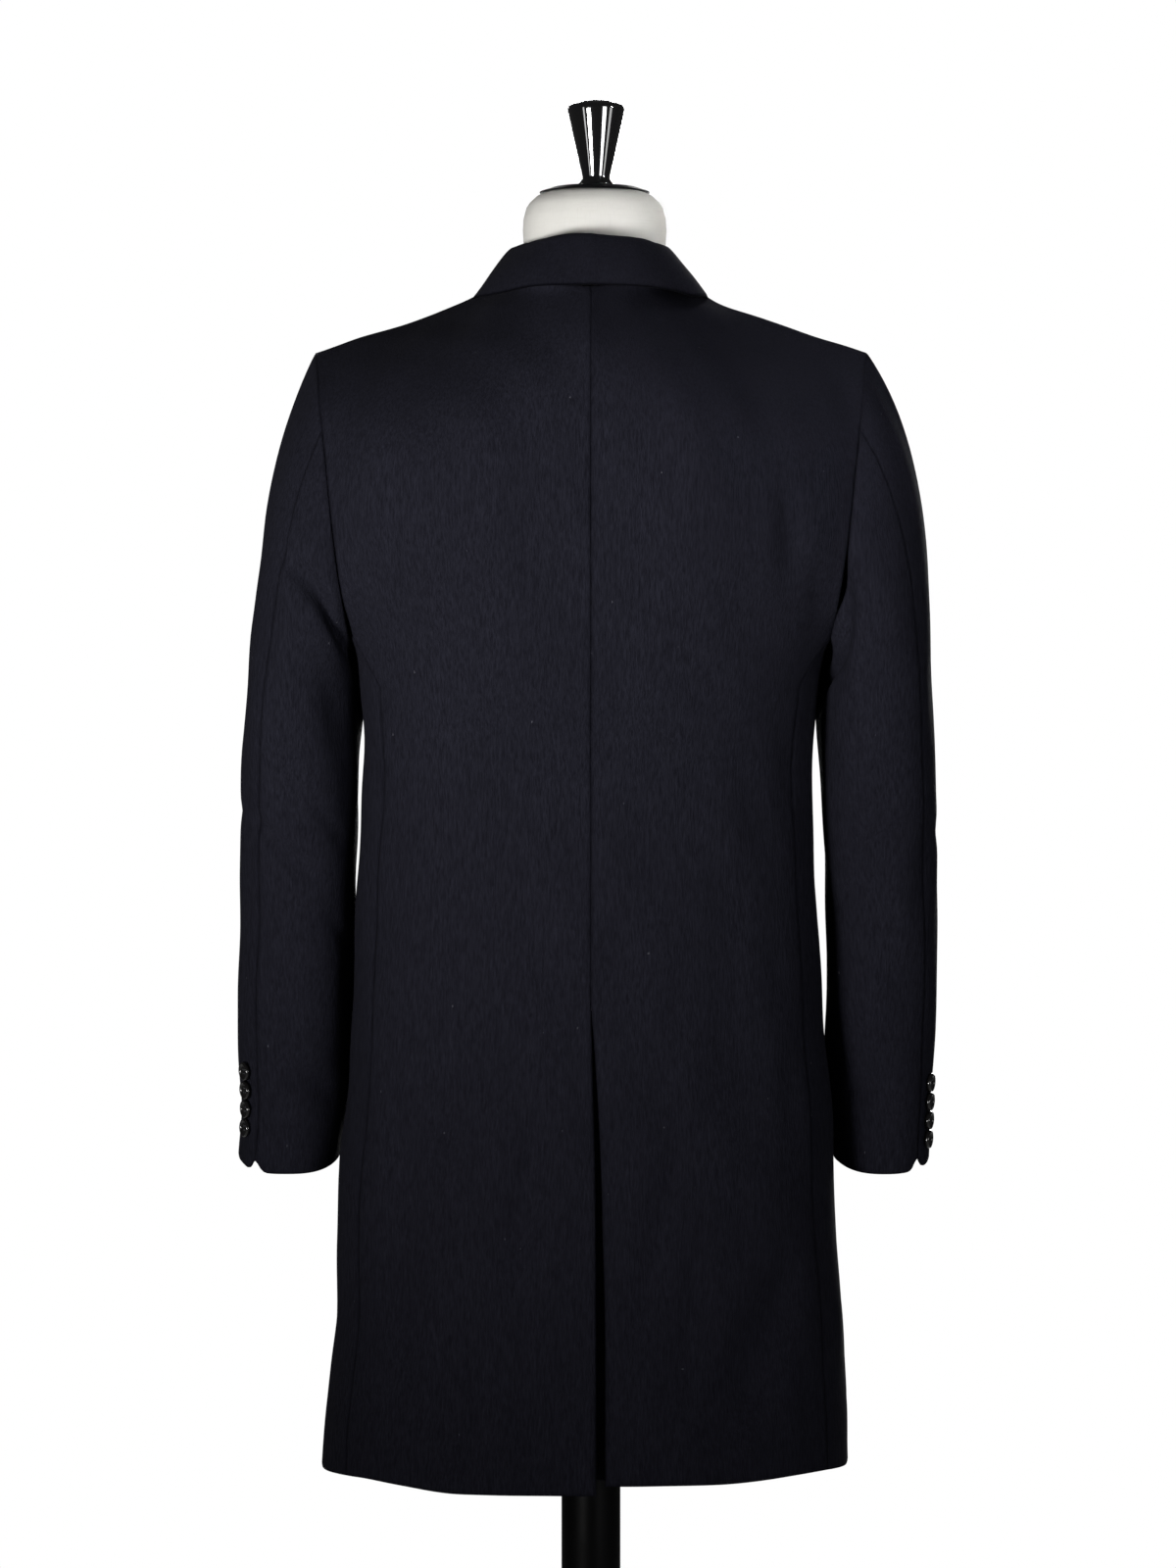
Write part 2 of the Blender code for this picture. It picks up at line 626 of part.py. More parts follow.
def build_lapel(side, grid, normals, wool):
    """The facing turned back over the chest, a wall lying on the front panel."""
    chest_row = len(SECTIONS) - 1
    inner, outer = [], []
    for turn in LAPEL:
        widths = np.linspace(0, turn.width, LAPEL_COLUMNS)
        found = [on_row(grid, normals, chest_row + turn.row, width) for width in widths]
        inner.append([point + LAPEL_OFF * normal for point, normal in found])
        outer.append([point + (LAPEL_OFF + CLOTH) * normal for point, normal in found])
    wall("lapel_" + SIDE_NAMES[side], np.array(outer), np.array(inner), wool)


# Hip pocket flaps, lying on the front panels with their lower back corner standing off
FLAP_TOP_Z, FLAP_DEEP = 1.026, 0.058
FLAP_DEG = (-58.0, -17.0)
FLAP_COLUMNS, FLAP_ROWS = 7, 4
FLAP_THICK = 0.0030
FLAP_OFF = 0.0006
FLAP_FLARE = 0.0060


def build_flap(side, wool):
    inner, outer = [], []
    for down in np.linspace(0, 1, FLAP_ROWS):
        rows = ([], [])
        for across in np.linspace(0, 1, FLAP_COLUMNS):
            degrees = FLAP_DEG[0] + (FLAP_DEG[1] - FLAP_DEG[0]) * across
            z = FLAP_TOP_Z - FLAP_DEEP * down
            point = section_point(side, degrees, z)
            along = section_point(side, degrees + 1, z) - section_point(side, degrees - 1, z)
            normal = np.cross(along, (0, 0, side))
            normal /= np.linalg.norm(normal)
            off = FLAP_OFF + FLAP_FLARE * down * (0.25 + 0.75 * across**2)
            rows[0].append(point + off * normal)
            rows[1].append(point + (off + FLAP_THICK) * normal)
        inner.append(rows[0])
        outer.append(rows[1])
    wall("pocket_flap_" + SIDE_NAMES[side], np.array(outer), np.array(inner), wool)


def build_vent_underlap(wool):
    """The right back turned in beside the vent, running on behind the left back."""
    inner, outer = [], []
    for z in np.linspace(HEM_BACK_Z[RIGHT] + UNDERLAP_SHORT, VENT_TOP_Z - 2 * UNDERLAP_SHORT, UNDERLAP_ROWS):
        edge = smooth(VENT, "right", z)
        face = section_point(LEFT, BACK_DEG, z)[1] - CLOTH - 1.4 * SEAM
        deep = face - smooth(VENT, "depth", z)
        turn = 0.002
        sag = np.array([0, 0.001, 0.003])
        reach = np.array([edge + turn, UNDERLAP_REACH / 2, UNDERLAP_REACH])
        tail = [(x, deep - s, z) for x, s in zip(reach, sag)]
        outer.append([(edge, face, z), (edge, deep + turn, z), *tail])
        reach[0] = edge - CLOTH + turn
        behind = deep - CLOTH
        tail = [(x, behind - s, z) for x, s in zip(reach, sag)]
        inner.append([(edge - CLOTH, face, z), (edge - CLOTH, behind + turn, z), *tail])
    wall("vent_underlap", np.array(outer), np.array(inner), wool)


# Buttons
FRONT_BUTTON_RADIUS, CUFF_BUTTON_RADIUS = 0.0125, 0.0076
BUTTON_THICK = 0.0036
BUTTON_SIDES = 14
BUTTON_OFF = 0.0006  # room for the thread shank
FRONT_BUTTON_Z = (1.170, 1.055, 0.940)
CUFF_BUTTON_Z = {LEFT: (0.8885, 0.8730, 0.8575, 0.8420), RIGHT: (0.8790, 0.8635, 0.8480, 0.8325)}
CUFF_BUTTON_IN = 0.014  # from the hind seam towards the front


def build_button(name, point, normal, radius, horn):
    thick = BUTTON_THICK
    profile = [(0, 0), (radius, 0), (radius, thick * 0.7), (radius * 0.86, thick), (0, thick)]
    button = lathe(name, profile, horn, sides=BUTTON_SIDES)
    button.location = tuple(np.array(point) + BUTTON_OFF * np.array(normal))
    button.rotation_euler = Vector(normal).to_track_quat("Z", "Y").to_euler()


def row_at(heights, z):
    """The row of a grid at a height, as a number that may lie between two rows."""
    order = np.argsort(heights)
    return float(np.interp(z, np.array(heights)[order], order))


def build_front_buttons(front, normals, horn):
    """Three buttons down the centre front, on the left panel."""
    for number, z in enumerate(FRONT_BUTTON_Z, 1):
        row = row_at(front[:, 0, 2], z)
        to_middle = abs(section_point(LEFT, FRONT_EDGE_DEG, z)[0])
        point, normal = on_row(front, normals, row, to_middle)
        build_button(f"front_button_{number}", point, normal, FRONT_BUTTON_RADIUS, horn)


def build_cuff_buttons(side, top_sleeve, normals, horn):
    """Four buttons down the top sleeve beside the hind seam, which is its last column."""
    backwards, normals_back = top_sleeve[:, ::-1], normals[:, ::-1]
    line = [on_row(backwards, normals_back, row, CUFF_BUTTON_IN)[0][2] for row in range(len(top_sleeve))]
    for number, z in enumerate(CUFF_BUTTON_Z[side], 1):
        row = row_at(line, z)
        point, normal = on_row(backwards, normals_back, row, CUFF_BUTTON_IN)
        build_button(f"cuff_button_{SIDE_NAMES[side]}_{number}", point, normal, CUFF_BUTTON_RADIUS, horn)


def build_coat():
    wool = plain_material("navy_wool", (0.010, 0.011, 0.017), 0.9)
    horn = plain_material("black_horn", (0.012, 0.012, 0.014), 0.25)
    panels = {}
    for side in (LEFT, RIGHT):
        name = SIDE_NAMES[side]
        panels["back_" + name] = (back_grid(side), (0, 0))
        panels["front_" + name] = (front_grid(side), (0, 0))
        sleeve, hind, fore = sleeve_grid(side)
        around = np.concatenate([sleeve[:, fore:], sleeve[:, : hind + 1]], axis=1)
        axis = (side * 0.236, -0.01)
        panels["top_sleeve_" + name] = (around, axis)
        panels["under_sleeve_" + name] = (sleeve[:, hind : fore + 1], axis)
    normals = shared_normals(panels)
    for name, (grid, _) in panels.items():
        outer = pulled_back(grid, normals[name])
        wall(name, outer, outer - CLOTH * normals[name], wool)
    build_collar(wool)
    build_vent_underlap(wool)
    build_front_buttons(panels["front_left"][0], normals["front_left"], horn)
    for side in (LEFT, RIGHT):
        name = SIDE_NAMES[side]
        build_lapel(side, panels["front_" + name][0], normals["front_" + name], wool)
        build_flap(side, wool)
        build_cuff_buttons(side, panels["top_sleeve_" + name][0], normals["top_sleeve_" + name], horn)


def clear_scene():
    for obj in list(bpy.data.objects):
        bpy.data.objects.remove(obj)


clear_scene()
build_form()
build_coat()
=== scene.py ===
"""A navy wool overcoat on a limbless dress form with its pole and base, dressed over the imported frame."""

import json
import math
from collections import namedtuple

import bmesh
import bpy
import numpy as np
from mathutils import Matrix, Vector

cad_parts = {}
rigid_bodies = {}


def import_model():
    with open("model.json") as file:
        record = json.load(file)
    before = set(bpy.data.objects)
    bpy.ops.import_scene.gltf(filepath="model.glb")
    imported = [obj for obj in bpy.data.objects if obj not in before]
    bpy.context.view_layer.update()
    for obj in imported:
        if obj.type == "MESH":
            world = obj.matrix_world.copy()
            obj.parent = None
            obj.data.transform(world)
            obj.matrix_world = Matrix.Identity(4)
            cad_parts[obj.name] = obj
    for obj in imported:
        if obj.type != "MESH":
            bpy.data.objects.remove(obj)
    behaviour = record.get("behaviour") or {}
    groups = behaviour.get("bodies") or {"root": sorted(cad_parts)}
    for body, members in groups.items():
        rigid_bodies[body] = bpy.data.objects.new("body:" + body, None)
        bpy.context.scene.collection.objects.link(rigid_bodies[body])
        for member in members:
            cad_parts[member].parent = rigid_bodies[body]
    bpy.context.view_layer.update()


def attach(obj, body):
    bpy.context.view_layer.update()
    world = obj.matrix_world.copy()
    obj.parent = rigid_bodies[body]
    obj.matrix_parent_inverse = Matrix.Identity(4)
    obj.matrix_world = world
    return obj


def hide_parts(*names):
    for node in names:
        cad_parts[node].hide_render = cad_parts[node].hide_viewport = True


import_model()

# ------------------------------------------------------------------------------------------
# Base and pole: a spun steel disc with a steel tube screwed into its middle, both sprayed
# satin black. The paint has a fine orange-peel skin and a little dust lies on the disc.

BASE_PROFILE = [
    (0.0000, 0.0000),
    (0.1900, 0.0000),
    (0.1900, 0.0060),
    (0.1860, 0.0110),
    (0.1200, 0.0190),
    (0.0500, 0.0270),
    (0.0400, 0.0297),
    (0.0000, 0.0297),
]
POLE_PROFILE = [(0.0, 0.0303), (0.0240, 0.0303), (0.0240, 0.7997), (0.0, 0.7997)]
BLACK_PAINT = (0.0010, 0.0010, 0.0011)
DUST = (0.110, 0.108, 0.102)


def node(tree, kind, inputs, **settings):
    """A shader node with its settings, and its inputs given as values or as sockets to join."""
    made = tree.nodes.new("ShaderNode" + kind)
    for name, value in settings.items():
        setattr(made, name, value)
    for name, value in inputs.items():
        if isinstance(value, bpy.types.NodeSocket):
            tree.links.new(value, made.inputs[name])
        else:
            made.inputs[name].default_value = value
    return made


def effect(name, takes, gives):
    """An empty effect group, with its inputs as (name, kind, value) and its outputs as (name, kind)."""
    group = bpy.data.node_groups.new(name, "ShaderNodeTree")
    for title, kind, value in takes:
        socket = group.interface.new_socket(title, in_out="INPUT", socket_type="NodeSocket" + kind)
        socket.default_value = value
    for title, kind in gives:
        group.interface.new_socket(title, in_out="OUTPUT", socket_type="NodeSocket" + kind)
    return group, group.nodes.new("NodeGroupInput").outputs, group.nodes.new("NodeGroupOutput").inputs


def surface(name, **constants):
    """A material with its fixed values set on the shader's own sockets."""
    material = bpy.data.materials.new(name)
    material.use_nodes = True
    shader = material.node_tree.nodes["Principled BSDF"]
    for title, value in constants.items():
        shader.inputs[title.replace("_", " ")].default_value = value
    return material, material.node_tree, shader.inputs


def mixed(tree, share, first, second):
    """A colour between two, by a share from 0 to 1."""
    mix = node(tree, "Mix", {}, data_type="RGBA")
    for socket, value in ((mix.inputs[0], share), (mix.inputs[6], first), (mix.inputs[7], second)):
        if isinstance(value, bpy.types.NodeSocket):
            tree.links.new(value, socket)
        else:
            socket.default_value = value
    return mix.outputs[2]


def spread(tree, value, low, high, to_low, to_high):
    """A value moved from one range to another and held inside it."""
    ends = {"Value": value, "From Min": low, "From Max": high, "To Min": to_low, "To Max": to_high}
    return node(tree, "MapRange", ends).outputs["Result"]


def product(tree, first, second):
    """Two values multiplied."""
    return node(tree, "Math", {0: first, 1: second}, operation="MULTIPLY").outputs[0]


def dusting():
    """Specks and a thin film of dust over a hard finish."""
    group, takes, gives = effect(
        "dusting",
        [("Finish", "Color", (0, 0, 0, 1)), ("Dust", "Color", (*DUST, 1)), ("Film", "Float", 0.05),
         ("Specks", "Float", 0.3), ("Gloss low", "Float", 0.3), ("Gloss high", "Float", 0.5)],
        [("Colour", "Color"), ("Roughness", "Float"), ("Height", "Float")],
    )
    place = node(group, "TexCoord", {}).outputs["Object"]
    cloud = node(group, "TexNoise", {"Vector": place, "Scale": 14.0, "Detail": 4.0}).outputs["Fac"]
    grains = node(group, "TexNoise", {"Vector": place, "Scale": 900.0, "Detail": 1.0}).outputs["Fac"]
    film = product(group, spread(group, cloud, 0.35, 0.75, 0, 1), takes["Film"])
    speck = product(group, spread(group, grains, 0.72, 0.80, 0, 1), takes["Specks"])
    cover = node(group, "Math", {0: film, 1: speck}, operation="ADD", use_clamp=True)
    group.links.new(mixed(group, cover.outputs[0], takes["Finish"], takes["Dust"]), gives["Colour"])
    rough = spread(group, cloud, 0.3, 0.7, 0, 1)
    ends = {"Value": rough, "To Min": takes["Gloss low"], "To Max": takes["Gloss high"]}
    group.links.new(node(group, "MapRange", ends).outputs["Result"], gives["Roughness"])
    peel = node(group, "TexNoise", {"Vector": place, "Scale": 420.0, "Detail": 2.0}).outputs["Fac"]
    group.links.new(peel, gives["Height"])
    return group


def hard_finish(name, colour, film, specks, gloss, skin, **constants):
    """A painted, lacquered or polished finish with dust on it and a fine skin."""
    material, tree, shader = surface(name, **constants)
    values = {"Finish": (*colour, 1), "Film": film, "Specks": specks, "Gloss low": gloss[0], "Gloss high": gloss[1]}
    dusted = node(tree, "Group", {}, node_tree=dust_group)
    for title, value in values.items():
        dusted.inputs[title].default_value = value
    tree.links.new(dusted.outputs["Colour"], shader["Base Color"])
    tree.links.new(dusted.outputs["Roughness"], shader["Roughness"])
    bump = node(tree, "Bump", {"Height": dusted.outputs["Height"], "Strength": 1.0, "Distance": skin})
    tree.links.new(bump.outputs["Normal"], shader["Normal"])
    return material


def made_piece(name, points, faces, material, stands_for=(), slot=None):
    """A mesh piece of the object that rides on its one body and stands for CAD nodes."""
    mesh = bpy.data.meshes.new(name)
    mesh.from_pydata([tuple(p) for p in points], [], faces)
    shape = bmesh.new()
    shape.from_mesh(mesh)
    bmesh.ops.recalc_face_normals(shape, faces=shape.faces)
    if shape.calc_volume(signed=True) < 0:
        bmesh.ops.reverse_faces(shape, faces=shape.faces)
    shape.to_mesh(mesh)
    shape.free()
    mesh.shade_smooth()
    mesh.materials.append(material)
    piece = bpy.data.objects.new(name, mesh)
    bpy.context.scene.collection.objects.link(piece)
    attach(piece, "root")
    if stands_for:
        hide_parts(*stands_for)
    return piece


def turned(profile, sides, middle=(0.0, 0.0)):
    """Points and faces of a piece turned on an upright axis, from (radius, height) pairs."""
    turns = np.arange(sides) * 2 * math.pi / sides
    points, rings = [], []
    for radius, z in profile:
        count = sides if radius else 1
        rings.append([len(points) + k % count for k in range(sides + 1)])
        ring = [(middle[0] + radius * math.cos(t), middle[1] + radius * math.sin(t), z) for t in turns[:count]]
        points += ring
    faces = []
    for low, high in zip(rings, rings[1:]):
        for k in range(sides):
            faces.append(tuple(dict.fromkeys((low[k], low[k + 1], high[k + 1], high[k]))))
    return points, faces


def tube_faces(rings, sides):
    """Faces of a tube of rings of points, with its two flat ends."""
    last = (rings - 1) * sides
    faces = [tuple(range(sides)), tuple(range(last, last + sides))]
    for low in range(0, last, sides):
        high = low + sides
        faces += [(low + k, low + (k + 1) % sides, high + (k + 1) % sides, high + k) for k in range(sides)]
    return faces


def edges_rounded(piece, radius, steps=3):
    """Soft arrises on every hard corner, with the flats kept flat."""
    bevel = piece.modifiers.new("rounded edges", "BEVEL")
    bevel.width, bevel.segments = radius, steps
    bevel.limit_method, bevel.angle_limit = "ANGLE", math.radians(12)
    bevel.harden_normals = True
    return piece


dust_group = dusting()
satin_paint = hard_finish(
    "black_satin_paint", BLACK_PAINT, film=0.004, specks=0.04, gloss=(0.40, 0.52), skin=0.00003,
    Specular_IOR_Level=0.06,
)
base = made_piece("base_disc", *turned(BASE_PROFILE, sides=160), satin_paint, ["base"], "black_satin_paint")
edges_rounded(base, radius=0.0016)
pole = made_piece("pole_tube", *turned(POLE_PROFILE, sides=96), satin_paint, ["pole"], "black_satin_paint")
edges_rounded(pole, radius=0.0010)

# ------------------------------------------------------------------------------------------
# Dress form: a torso of papier-mache without arms, padded and covered in off-white linen
# drawn tight over it. Only its neck stands above the collar.

Bust = namedtuple("Bust", "z half back front middle")
BUST = [
    Bust(0.8000, 0.140, 0.094, 0.090, 0),
    Bust(0.8060, 0.150, 0.103, 0.099, 0),
    Bust(0.8200, 0.155, 0.108, 0.104, 0),
    Bust(0.9000, 0.160, 0.108, 0.108, 0),
    Bust(1.0000, 0.158, 0.102, 0.108, 0),
    Bust(1.0800, 0.150, 0.097, 0.106, 0),
    Bust(1.2000, 0.160, 0.108, 0.114, 0),
    Bust(1.3000, 0.170, 0.117, 0.110, 0),
    Bust(1.3800, 0.176, 0.115, 0.095, 0),
    Bust(1.4300, 0.180, 0.104, 0.075, 0),
    Bust(1.4600, 0.184, 0.068, 0.054, 0),
    Bust(1.4750, 0.182, 0.042, 0.042, 0),
    Bust(1.4835, 0.166, 0.031, 0.036, 0),
    Bust(1.4950, 0.136, 0.025, 0.032, 0),
    Bust(1.5100, 0.096, 0.027, 0.031, 0),
    Bust(1.5250, 0.072, 0.040, 0.037, -0.001),
    Bust(1.5400, 0.0595, 0.055, 0.049, -0.002),
    Bust(1.5600, 0.0580, 0.057, 0.055, -0.003),
    Bust(1.5850, 0.0575, 0.057, 0.055, -0.003),
    Bust(1.5960, 0.0530, 0.053, 0.051, -0.003),
    Bust(1.6030, 0.0440, 0.044, 0.042, -0.003),
    Bust(1.6070, 0.0330, 0.033, 0.031, -0.003),
    Bust(1.6085, 0.0200, 0.020, 0.019, -0.003),
]
BUST_ROUNDNESS = 2.3
BUST_SIDES, BUST_RISE = 96, 0.009
LINEN, LINEN_SHADE = (0.455, 0.449, 0.424), (0.382, 0.375, 0.350)


def bridged(start, leave, end, arrive, t):
    """A curve from start to end that sets off along one direction and comes in along another."""
    setting_off = start * (1 + 2 * t) * (1 - t) ** 2 + leave * t * (1 - t) ** 2
    return setting_off + end * t * t * (3 - 2 * t) + arrive * t * t * (t - 1)


def smooth(table, column, z):
    """A column of a table at the heights z, on a curve through its rows."""
    rows = sorted(table, key=lambda row: row.z)
    heights = np.array([row.z for row in rows])
    values = np.array([getattr(row, column) for row in rows], float)
    slopes = np.gradient(values, heights)
    low = np.clip(np.searchsorted(heights, z) - 1, 0, len(rows) - 2)
    span = heights[low + 1] - heights[low]
    t = (z - heights[low]) / span
    return bridged(values[low], slopes[low] * span, values[low + 1], slopes[low + 1] * span, t)


def squared(wave, roundness):
    """A sine or cosine bent so that a circle of them becomes a rounded rectangle."""
    return np.sign(wave) * abs(wave) ** (2 / roundness)


def weaving():
    """Crossed yarns, uneven in thickness, with slubs of a second shade."""
    group, takes, gives = effect(
        "weaving",
        [("Cloth", "Color", (1, 1, 1, 1)), ("Slub", "Color", (0, 0, 0, 1)), ("Yarns per metre", "Float", 1500.0),
         ("Slubs", "Float", 0.5)],
        [("Colour", "Color"), ("Height", "Float")],
    )
    place = node(group, "TexCoord", {}).outputs["Object"]
    axes = node(group, "SeparateXYZ", {"Vector": place}).outputs
    turn = node(group, "Math", {0: axes["X"], 1: axes["Y"]}, operation="ADD").outputs[0]
    heights = []
    for along in (turn, axes["Z"]):
        turns = product(group, product(group, along, takes["Yarns per metre"]), 2 * math.pi)
        heights.append(node(group, "Math", {0: turns}, operation="SINE").outputs[0])
    group.links.new(product(group, *heights), gives["Height"])
    slubs = []
    for scale in ((900, 900, 60), (60, 60, 900)):
        yarn = node(group, "Mapping", {"Vector": place, "Scale": scale}).outputs[0]
        slubs.append(node(group, "TexNoise", {"Vector": yarn, "Scale": 1.0, "Detail": 2.0}).outputs["Fac"])
    most = node(group, "Math", {0: slubs[0], 1: slubs[1]}, operation="MAXIMUM").outputs[0]
    share = product(group, spread(group, most, 0.50, 0.78, 0, 1), takes["Slubs"])
    group.links.new(mixed(group, share, takes["Cloth"], takes["Slub"]), gives["Colour"])
    return group


def woven_finish(name, cloth, slub, yarns, slubs, relief, **constants):
    """A plain woven cloth."""
    material, tree, shader = surface(name, **constants)
    weave = node(tree, "Group", {}, node_tree=weave_group)
    values = {"Cloth": (*cloth, 1), "Slub": (*slub, 1), "Yarns per metre": yarns, "Slubs": slubs}
    for title, value in values.items():
        weave.inputs[title].default_value = value
    tree.links.new(weave.outputs["Colour"], shader["Base Color"])
    bump = node(tree, "Bump", {"Height": weave.outputs["Height"], "Strength": 0.6, "Distance": relief})
    tree.links.new(bump.outputs["Normal"], shader["Normal"])
    return material


def bust_solid():
    """Points and faces of the closed torso, rings from its flat bottom to the top of its neck."""
    heights = np.arange(BUST[0].z, BUST[-1].z, BUST_RISE)
    heights = np.unique(np.concatenate([heights, [row.z for row in BUST]]))
    turns = np.arange(BUST_SIDES) * 2 * math.pi / BUST_SIDES
    c, s = squared(np.cos(turns), BUST_ROUNDNESS), squared(np.sin(turns), BUST_ROUNDNESS)
    half, back, front = (smooth(BUST, column, heights)[:, None] for column in ("half", "back", "front"))
    x = smooth(BUST, "middle", heights)[:, None] + half * c
    y = np.where(s > 0, back * s, front * s)
    points = np.stack([x, y, np.broadcast_to(heights[:, None], x.shape)], axis=2).reshape(-1, 3)
    return points, tube_faces(len(heights), BUST_SIDES)


weave_group = weaving()
linen = woven_finish("form_linen", LINEN, LINEN_SHADE, yarns=1300.0, slubs=0.35, relief=0.00012, Roughness=0.9)
made_piece("form_cover", *bust_solid(), linen, ["form_torso"], "form_linen")

# ------------------------------------------------------------------------------------------
# Neck cap and finial: a thin pressed disc painted satin black that closes the neck, and a
# turned wooden handle screwed through it, wider at its top and lacquered to a deep gloss.

CAP_MIDDLE, FINIAL_MIDDLE = (-0.003, 0.0), (-0.0045, 0.0)
CAP_PROFILE = [
    (0.0000, 1.6090),
    (0.0205, 1.6090),
    (0.0345, 1.6074),
    (0.0445, 1.6041),
    (0.0450, 1.6052),
    (0.0350, 1.6087),
    (0.0210, 1.6104),
    (0.0000, 1.6106),
]
FINIAL_PROFILE = [
    (0.0000, 1.6109),
    (0.0155, 1.6109),
    (0.0135, 1.6135),
    (0.0110, 1.6165),
    (0.0232, 1.6710),
    (0.0236, 1.6740),
    (0.0215, 1.6765),
    (0.0120, 1.6795),
    (0.0000, 1.6805),
]
LACQUER = (0.0020, 0.0020, 0.0022)

lacquer = hard_finish(
    "black_lacquer", LACQUER, film=0.004, specks=0.02, gloss=(0.07, 0.12), skin=0.00001,
    Coat_Weight=1.0, Coat_Roughness=0.03, Coat_IOR=2.1,
)
cap_disc = turned(CAP_PROFILE, sides=120, middle=CAP_MIDDLE)
cap = made_piece("neck_cap_disc", *cap_disc, satin_paint, ["neck_cap"], "black_satin_paint")
edges_rounded(cap, radius=0.0004, steps=2)
handle = turned(FINIAL_PROFILE, sides=120, middle=FINIAL_MIDDLE)
finial = made_piece("finial_handle", *handle, lacquer, ["finial"], "black_lacquer")
edges_rounded(finial, radius=0.0018, steps=4)

# ------------------------------------------------------------------------------------------
# Back: two panels of brushed navy wool joined by the centre-back seam, pressed open over a
# satin lining. Below the seam the left panel is turned in and laps over the vent.

LEFT, RIGHT = 1, -1
SIDE_NAMES = {LEFT: "left", RIGHT: "right"}
CHEST_Z = 1.200
BODY_ROUNDNESS = 2.4
NECK_COLUMNS, SHOULDER_COLUMNS = 12, 48
SIDE_SEAM_ROWS, ARMHOLE_ROWS = 4, 40
LOWER_ROWS = 96
SIDE_SEAM_DEG = 28.0
HEM_BACK_Z = {LEFT: 0.5610, RIGHT: 0.5685}
HEM_SIDE_Z = {LEFT: 0.5685, RIGHT: 0.5730}
HEM_FRONT_Z = 0.5620
HEM_RISE_X, HEM_RISE_OVER = 0.100, 0.090
HEM_SAG_Z = 0.08  # how far up the hem's own line still tells
VENT_TOP_Z = 0.948
VENT_FADE = 6

Section = namedtuple("Section", "z left right back front")
SECTIONS = [
    Section(0.562, 0.2186, 0.2098, 0.155, 0.150),
    Section(0.600, 0.2168, 0.2090, 0.153, 0.150),
    Section(0.645, 0.2120, 0.2072, 0.150, 0.149),
    Section(0.690, 0.2074, 0.2056, 0.147, 0.148),
    Section(0.750, 0.2070, 0.2000, 0.143, 0.146),
    Section(0.810, 0.2050, 0.1975, 0.139, 0.144),
    Section(0.870, 0.1982, 0.1955, 0.134, 0.141),
    Section(0.930, 0.1947, 0.1895, 0.129, 0.138),
    Section(1.000, 0.1925, 0.1860, 0.123, 0.134),
    Section(1.070, 0.1890, 0.1815, 0.119, 0.130),
    Section(1.110, 0.1865, 0.1805, 0.119, 0.130),
    Section(1.155, 0.1850, 0.1812, 0.123, 0.132),
    Section(CHEST_Z, 0.1885, 0.1850, 0.129, 0.135),
]
# The vent: how far each panel's edge stands from the middle, and how deep the underlap lies
Vent = namedtuple("Vent", "z left right depth")
VENT = [
    Vent(0.560, -0.0040, -0.0112, 0.0130),
    Vent(0.690, -0.0040, -0.0112, 0.0120),
    Vent(0.745, -0.0038, -0.0100, 0.0110),
    Vent(0.825, -0.0030, -0.0075, 0.0085),
    Vent(0.884, -0.0013, -0.0045, 0.0055),
    Vent(VENT_TOP_Z, 0.0, 0.0, 0.0030),
]
NECK_BACK = (0, 0.0930, 1.5215)
NECK_LINE = [(0.045, 0.070, 1.5255)]
NECK_SIDE = (0.0780, -0.0030, 1.5330)
SHOULDER_LINE = [(0.105, -0.006, 1.5165), (0.145, -0.008, 1.5015), (0.185, -0.008, 1.4885)]
SHOULDER_POINT = (0.2255, -0.0050, 1.4750)
UNDERARM_SEAM_TOP = (0.1935, 0.0500, 1.2420)
ARMHOLE_BACK = [
    (0.2010, 0.0730, 1.2770),
    (0.2075, 0.0790, 1.3250),
    (0.2130, 0.0700, 1.3750),
    (0.2200, 0.0450, 1.4350),
]
LEAVE_FULL, LEAVE_UP = 0.45, 1.74
ARRIVE_FULL, ARRIVE_UP = 4.2, 0.57
INSIDE_ARMHOLE = 0.0006
EASE_PASSES, LAST_PASSES = 70, 12

CLOTH = 0.0027
EDGE_SHARES = (0.22, 0.55)  # where the extra rows beside a border lie, as shares of one step
EDGE_ROLL, EDGE_REACH = 0.0007, 0.0014  # how far and how wide a turned edge rounds off
EDGE_SHADE = 0.0016  # how wide the painted shade beside a seam or turned edge reaches
UNEVEN = 0.00045  # the cloth's own long waves
UNEVEN_WAVES, UNEVEN_SEED = 14, 7
SHORTEST_WAVE, LONGEST_WAVE = (0.045, 0.045, 0.09), (0.11, 0.11, 0.30)

